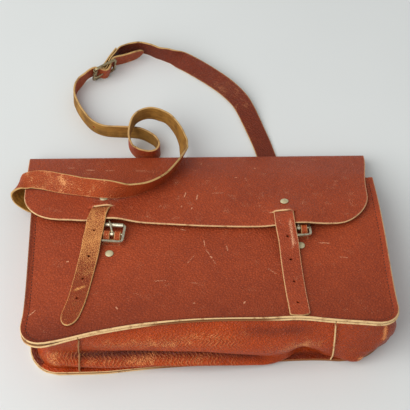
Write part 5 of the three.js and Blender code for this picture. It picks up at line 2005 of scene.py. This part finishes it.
class Bench:
    """Hand modelling with operators, one selected object at a time, in metres."""

    @staticmethod
    def pick(*pieces: Object) -> None:
        """Select pieces and nothing else.

        Args:
            pieces: the pieces, the first of which becomes active.
        """
        bpy.ops.object.select_all(action="DESELECT")
        for piece in pieces:
            piece.select_set(True)
        bpy.context.view_layer.objects.active = pieces[0]

    @staticmethod
    def select(pick: Callable[[Any], bool], kind: str) -> None:
        """In edit mode, select what a test picks.

        Args:
            pick: the test.
            kind: faces or edges.
        """
        bpy.ops.mesh.select_mode(type={"faces": "FACE", "edges": "EDGE"}[kind])
        bpy.ops.mesh.select_all(action="DESELECT")
        edit = bmesh.from_edit_mesh(bpy.context.object.data)
        for item in getattr(edit, kind):
            item.select_set(bool(pick(item)))
        edit.select_flush_mode()
        bmesh.update_edit_mesh(bpy.context.object.data)

    @staticmethod
    def soften(width: float, segments: int = 3) -> None:
        """Round the active object's sharp edges.

        Args:
            width: width of the rounding in millimetres.
            segments: steps of the rounding.
        """
        modifier = bpy.context.object.modifiers.new("bevel", "BEVEL")
        modifier.width = width * MM
        modifier.segments = segments
        modifier.limit_method = "ANGLE"
        modifier.angle_limit = math.radians(50)
        bpy.ops.object.modifier_apply(modifier=modifier.name)

    @staticmethod
    def join(*pieces: Object) -> None:
        """Join pieces into the first."""
        Bench.pick(*pieces)
        bpy.ops.object.join()

    @staticmethod
    def tube(radius: float, bore: float, length: float, soften: float) -> Object:
        """A short tube along x, in millimetres.

        Args:
            radius: its radius.
            bore: radius of its bore.
            length: its length.
            soften: rounding of its edges.

        Returns:
            The tube.
        """
        bpy.ops.mesh.primitive_cylinder_add(vertices=36, radius=radius * MM, depth=length * MM)
        bpy.ops.object.mode_set(mode="EDIT")
        Bench.select(lambda f: abs(f.normal.z) > 0.9, "faces")
        bpy.ops.mesh.inset(thickness=(radius - bore) * MM, use_individual=True)
        bpy.ops.mesh.bridge_edge_loops()
        bpy.ops.mesh.select_all(action="SELECT")
        bpy.ops.mesh.normals_make_consistent(inside=False)
        bpy.ops.transform.rotate(value=math.pi / 2, orient_axis="Y", center_override=(0, 0, 0))
        bpy.ops.object.mode_set(mode="OBJECT")
        Bench.soften(soften)
        return bpy.context.object

    @staticmethod
    def settle(piece: Object, name: str, seat: Array, look: Material) -> None:
        """Name a piece, give it its material and put its place into its mesh.

        Args:
            piece: the piece.
            name: its name.
            seat: where it goes.
            look: its material.
        """
        piece.name = piece.data.name = name
        piece.data.materials.clear()
        piece.data.materials.append(look)
        piece.data.transform(metres(seat))
        Bench.pick(piece)
        bpy.ops.object.shade_smooth_by_angle(angle=math.radians(42))


@dataclass
class Buckle(Piece):
    """A centre-bar buckle with a roller and a prong, the shoulder strap's if it has no side."""

    side: Side | None
    seat: Array
    half: float
    low: float
    high: float = 13.7
    bar: float = 2.4
    rail: float = 2.8
    thick: float = 2.4
    corner: float = 4.0
    inner_corner: float = 1.6
    bar_radius: float = 1.15
    roller_y: float = 12.5
    roller_radius: float = 2.5
    roller_inset: float = 3.2
    prong_wire: float = 1.1
    prong_ring: float = 2.7
    prong_ring_width: float = 3.2
    bore: float = 1.75
    skew: float = 0.0
    plating: Plating = Plating.BRIGHT

    @staticmethod
    def _upright(edge: bmesh.types.BMEdge) -> bool:
        """Whether an edge runs through the frame's thickness."""
        return abs((edge.verts[0].co - edge.verts[1].co).normalized().z) > 0.9

    def build(self) -> None:
        """Make the frame, the roller and the prong."""
        self._frame()
        self._roller()
        self._prong()

    def _set(self, piece: Object, part: str, seat: Array, metal: Mapping[Plating, Material]) -> None:
        """Settle and place one of the buckle's parts.

        Args:
            piece: the part's mesh.
            part: frame, roller or prong.
            seat: where it goes.
            metal: its materials.
        """
        name, body, node = f"shoulder_buckle_{part}", "satchel", f"shoulder_buckle_{part}"
        if self.side:
            name, node = f"buckle_{self.side.value}_{part}", f"buckle_{part}_{self.side.value}"
            body = "satchel" if part == "frame" else f"{part}_{self.side.value}"
        Bench.settle(piece, f"{name}_metal", seat, metal[self.plating])
        placed(piece, body, "buckle_metal", node)

    def _frame(self) -> None:
        """The bent wire frame with its centre bar."""
        high, low = self.high * MM, self.low * MM
        bpy.ops.mesh.primitive_cube_add(size=1, location=(0, (high + low) / 2, 0))
        ring = bpy.context.object
        ring.scale = (2 * self.half * MM, high - low, self.thick * MM)
        bpy.ops.object.transform_apply()
        bpy.ops.object.mode_set(mode="EDIT")
        Bench.select(lambda f: abs(f.normal.z) > 0.9, "faces")
        bpy.ops.mesh.inset(thickness=self.bar * MM, use_individual=True)
        bpy.ops.mesh.bridge_edge_loops()
        Bench.select(lambda e: self._upright(e) and abs(e.verts[0].co.x) > (self.half - 0.2) * MM, "edges")
        bpy.ops.mesh.bevel(offset=self.corner * MM, segments=6, affect="EDGES")
        Bench.select(lambda e: self._upright(e) and abs(e.verts[0].co.x) < (self.half - 1.5) * MM, "edges")
        bpy.ops.mesh.bevel(offset=self.inner_corner * MM, segments=4, affect="EDGES")
        bpy.ops.object.mode_set(mode="OBJECT")
        Bench.soften(0.75)
        length = 2 * (self.half - self.rail) * MM + 0.001
        bpy.ops.mesh.primitive_cylinder_add(vertices=24, radius=self.bar_radius * MM, depth=length)
        pin = bpy.context.object
        bpy.ops.object.mode_set(mode="EDIT")
        bpy.ops.mesh.select_all(action="SELECT")
        bpy.ops.transform.rotate(value=math.pi / 2, orient_axis="Y", center_override=(0, 0, 0))
        bpy.ops.object.mode_set(mode="OBJECT")
        Bench.join(ring, pin)
        self._set(ring, "frame", self.seat, self.looks.buckle)

    def _roller(self) -> None:
        """The rolled tube on the far bar."""
        piece = Bench.tube(self.roller_radius, self.bore, 2 * (self.half - self.roller_inset), 0.35)
        # its brighter nickel is a painted highlight
        self._set(piece, "roller", moved(self.seat, 0, self.roller_y, 0), self.looks.roller)

    def _prong(self) -> None:
        """The wire prong with its ring round the centre bar."""
        rest = self.roller_radius + GAP + self.prong_wire
        side_view = np.array([
            (1, 2.45), (5, 3.4), (9.5, rest), (self.roller_y, rest + 0.05), (self.roller_y + 3, rest - 0.35),
        ])
        stations = np.insert(side_view, 0, -side_view[:, 0] * math.tan(math.radians(self.skew)), axis=1)
        path, _ = catmull(stations, np.linspace(0, 4, 17))
        bpy.ops.mesh.primitive_circle_add(
            vertices=14, radius=self.prong_wire * MM, fill_type="NGON", location=Vector(path[0] * MM),
            rotation=(math.pi / 2, 0, 0),
        )
        bpy.ops.object.transform_apply()
        wire = bpy.context.object
        bpy.ops.object.mode_set(mode="EDIT")
        bpy.ops.mesh.select_all(action="SELECT")
        for before, after in zip(path, path[1:]):
            step = Vector(((after - before) * MM).tolist())
            bpy.ops.mesh.extrude_region_move(TRANSFORM_OT_translate={"value": step})
            if after[1] > self.roller_y + 1.4:
                bpy.ops.transform.resize(value=(0.86, 0.86, 0.86), center_override=Vector(after * MM))
        bpy.ops.mesh.select_all(action="SELECT")
        bpy.ops.mesh.normals_make_consistent(inside=False)
        bpy.ops.object.mode_set(mode="OBJECT")
        Bench.soften(0.3, 2)
        ring = Bench.tube(self.prong_ring, self.bore, self.prong_ring_width, 0.4)
        Bench.join(ring, wire)
        self._set(ring, "prong", self.seat, self.looks.buckle)


@dataclass
class Tab(Piece):
    """Leather tab folded round a front buckle's bar, its ends passed through a slit in the panel."""

    side: Side
    width: float = 17.0
    slot_half: float = 2.8

    def _path(self) -> Array:
        """Side view of the tab.

        Returns:
            Places from its hidden end, round the bar and back.
        """
        reach = BUCKLE_PLACES[self.side].rivet + 5.5
        middle = np.array([
            (0, 0), (-2.6, -0.5), (-5, -2.2), (-7, -4.8), (-8.9, -7.8), (-11.4, -9.9), (-15, -10.3),
            (-reach, -10.35),
        ], float)
        apart = np.array([2.45, 1.9, 1.3, 1.0, 0.95, 0.95, 0.95, 0.95])[:, None]
        heading = unit(np.gradient(middle, axis=0))
        normal = np.stack([-heading[:, 1], heading[:, 0]], -1)
        near, far = middle + normal * apart, middle - normal * apart
        loop = np.array([(1.75, -1.75), (2.45, 0), (1.75, 1.75)])
        upper, lower = (near, far) if near[3, 1] > far[3, 1] else (far, near)
        outline = np.concatenate([lower[::-1], loop, upper])
        return np.concatenate([np.zeros((len(outline), 1)), outline], axis=1)

    def build(self) -> None:
        """Make the tab and place it."""
        seat = moved(buckle_seat(self.side), 0, 0, BUCKLE_LIFT)
        path = self._path()
        stops = np.linspace(0, len(path) - 1, 110)
        places, _ = catmull(path, stops)
        run = lengths_along(places)
        right = np.array([self.slot_half, 3.6, 4.6, 6, 7.6, self.width / 2])
        columns = np.array([*-right[::-1], 0, *right])

        def surface(length: Array, x: Array) -> Array:
            """Places on the leather's middle."""
            local = np.column_stack([x, read_along(places[:, 1:], run, length)])
            return local @ seat[:3, :3].T + seat[:3, 3]

        flat = np.stack(np.meshgrid(run, columns, indexing="ij"), -1)
        name = f"buckle_tab_{self.side.value}"
        sheet = Sheet(f"{name}_leather", flat, surface, TAB_T, flip=True, wear_reach=1.3)

        def inside(spots: Array) -> Array:
            """Places in the prong's slot."""
            y, z = read_along(places[:, 1:], run, spots[:, 0]).T
            return (np.abs(spots[:, 1]) < self.slot_half) & (y > -7.2) & (z > -3.4)

        sheet.punch(inside, np.copy)
        looks = [self.looks.shoulder, self.looks.suede, self.looks.hem]
        sheet.place("strap_leather", looks, name)


@dataclass
class Rivet(Piece):
    """A domed rivet with its shank and foot behind the leather."""

    name: str
    seat: Array
    stack: float
    head: float = 4.4
    dome: float = 1.5
    shank: float = 1.4
    foot: float = 3.0
    washer: float = 0.9

    def build(self) -> None:
        """Make the rivet and place it."""
        bpy.ops.mesh.primitive_uv_sphere_add(segments=32, ring_count=16, radius=self.head * MM)
        cap = bpy.context.object
        bpy.ops.object.mode_set(mode="EDIT")
        bpy.ops.mesh.select_all(action="SELECT")
        bpy.ops.mesh.bisect(plane_co=(0, 0, 0.0001), plane_no=(0, 0, 1), clear_inner=True, use_fill=True)
        bpy.ops.mesh.select_all(action="SELECT")
        bpy.ops.transform.resize(value=(1, 1, self.dome / self.head), center_override=(0, 0, 0))
        bpy.ops.transform.translate(value=(0, 0, GAP * MM))
        bpy.ops.object.mode_set(mode="OBJECT")
        Bench.soften(0.25)
        deep = (self.stack + GAP) * MM
        parts = [cap]
        for radius, depth, z in (
            (self.shank, deep + 0.0006, 0.0003 - deep / 2),
            (self.foot, self.washer * MM, -deep - self.washer * MM / 2),
        ):
            bpy.ops.mesh.primitive_cylinder_add(
                vertices=28, radius=radius * MM, depth=depth, location=(0, 0, z),
            )
            bpy.ops.object.transform_apply()
            Bench.soften(0.12, 2)
            parts.append(bpy.context.object)
        Bench.join(*parts)
        Bench.settle(cap, f"{self.name}_metal", self.seat, self.looks.brass)
        placed(cap, "satchel", "rivet_metal", self.name)


@dataclass
class Stitching(Piece):
    """Thread along the seams, stitch by stitch."""

    pitch: float = 3.8
    length: float = 2.7
    thick: float = 0.9
    dive: float = 0.35
    rings: int = 7
    sides: int = 8

    def build(self) -> None:
        """Make the seams' stitches and place them."""
        q = np.linspace(0.02, 4.98, 1400)
        x, y, nx, ny = seam_place(q, FRONT_CORNER, STITCH_INSET)
        turn = margin_turn(x, y, ny)
        middle = front_point(x, y)
        rise = np.stack([-nx * np.sin(turn), -ny * np.sin(turn), np.cos(turn)], -1)
        self._seam("front_seam_stitches", middle + rise * (PANEL_T / 2 - 0.3), rise)
        part = gusset_frame(q)
        web = part["front"] + part["flange"] * (MARGIN - STITCH_INSET)
        self._seam("gusset_seam_stitches", web + part["under"] * (GUSSET_T / 2 + 0.05), part["under"])

    def _seam(self, name: str, path: Array, rise: Array) -> None:
        """Stitches along one path.

        Args:
            name: the piece's name.
            path: places along the seam.
            rise: the way out of the leather at each.
        """
        run = lengths_along(path)
        starts = np.arange(2, run[-1] - self.pitch, self.pitch)
        a, b = read_along(path, run, starts), read_along(path, run, starts + self.length)
        up = unit(read_along(rise, run, starts + self.length / 2))
        side = unit(np.cross(up, unit(b - a)))
        angle = np.arange(self.sides) / self.sides * 2 * np.pi
        corners = []
        for t in np.linspace(0, 1, self.rings):
            swell = self.thick / 2 * max(math.sin(math.pi * (0.08 + 0.84 * t)) ** 0.5, 0.3)
            centre = mix(a, b, t) - up * self.dive * (2 * t - 1) ** 4
            ring = [centre + side * swell * math.cos(w) + up * swell * math.sin(w) for w in angle]
            corners.append(np.stack(ring, 1))
        points = np.stack(corners, 1)
        index = np.arange(points.size // 3).reshape(points.shape[:3])
        after = np.roll(index, -1, axis=2)
        quads = np.stack([index[:, :-1], after[:, :-1], after[:, 1:], index[:, 1:]], -1).reshape(-1, 4)
        caps = index[:, 0, ::-1].tolist() + index[:, -1].tolist()
        made = mesh_object(name, points.reshape(-1, 3), quads.tolist() + caps, [self.looks.thread])
        placed(made, "satchel", "panel_leather")


@dataclass
class Stage(Piece):
    """Table, lights and camera."""

    elevation: float = 57.0
    azimuth: float = -1.5
    distance: float = 1.65
    aim: tuple[float, float, float] = (0.0, 0.0585, 0.020)
    pixels_per_mm: float = 0.915
    photo_width: float = 410.0
    sensor: float = 36.0
    table: float = 6.0
    room_light: float = 0.47
    lamp_at: tuple[float, float, float] = (-1.2, -0.65, 1.5)
    lamp_target: tuple[float, float, float] = (0.0, 0.05, 0.0)
    lamp_size: float = 2.2
    lamp_power: float = 37.5

    def build(self) -> None:
        """Make the table, the lights and the camera."""
        bpy.ops.mesh.primitive_plane_add(size=self.table, location=(0, 0, 0))
        table = bpy.context.object
        table.name = "table"
        table.data.materials.append(self.looks.table)
        self._lights()
        self._camera()
        bpy.context.scene.view_settings.view_transform = "Standard"

    def _lights(self) -> None:
        """An even room and one soft window."""
        world = bpy.data.worlds.new("soft_room")
        world.use_nodes = True
        bpy.context.scene.world = world
        back = world.node_tree.nodes["Background"]
        back.inputs["Color"].default_value = (0.98, 0.995, 1.0, 1.0)
        back.inputs["Strength"].default_value = self.room_light
        data = bpy.data.lights.new("window", "AREA")
        data.size = self.lamp_size
        data.energy = self.lamp_power
        data.color = (1.0, 0.99, 0.97)
        lamp = bpy.data.objects.new("window", data)
        lamp.location = self.lamp_at
        toward = Vector(self.lamp_target) - Vector(self.lamp_at)
        lamp.rotation_euler = toward.to_track_quat("-Z", "Y").to_euler()
        bpy.context.scene.collection.objects.link(lamp)

    def _camera(self) -> None:
        """The camera at the photograph's angle."""
        e, a = math.radians(self.elevation), math.radians(self.azimuth)
        back = Vector((math.sin(a) * math.cos(e), -math.cos(a) * math.cos(e), math.sin(e)))
        data = bpy.data.cameras.new("camera")
        data.sensor_fit = "HORIZONTAL"
        data.sensor_width = self.sensor
        data.lens = self.pixels_per_mm * self.distance / MM / self.photo_width * self.sensor
        camera = bpy.data.objects.new("camera", data)
        camera.location = Vector(self.aim) + back * self.distance
        camera.rotation_euler = (-back).to_track_quat("-Z", "Y").to_euler()
        bpy.context.scene.collection.objects.link(camera)
        bpy.context.scene.camera = camera


def front_hardware(side: Side, looks: Finishes) -> None:
    """A closing strap's rivet, and a front buckle with its tab and rivet.

    Args:
        side: which side of the bag.
        looks: the materials.
    """
    name, place, seat = side.value, BUCKLE_PLACES[side], buckle_seat(side)
    Buckle(looks, side, moved(seat, 0, 0, BUCKLE_LIFT), 13.0, -11.5, skew=place.skew).build()
    Tab(looks, side).build()
    under = moved(seat, 0, -place.rivet, 0)
    Rivet(looks, f"tab_rivet_{name}", under, TAB_STACK).build()
    on_flap = seated(flap_top, *FLAP_RIVETS[side])
    Rivet(looks, f"flap_rivet_{name}", on_flap, PANEL_T + 4 * GAP + STRAP_T).build()


def main() -> None:
    """Build every piece, then the stage."""
    logging.basicConfig(level=logging.INFO, format="%(name)s: %(message)s")
    looks = Finishes()
    BackAndFlap(looks).build()
    FrontPanel(looks).build()
    Gusset(looks).build()
    for side in Side:
        ClosingStrap(looks, side).build()
        front_hardware(side, looks)
    ShoulderStrap(looks).build()
    Buckle(looks, None, shoulder_seat(), 14.3, -15.6, plating=Plating.OLD).build()
    Stitching(looks).build()
    Stage(looks).build()


if __name__ == "__main__":
    main()
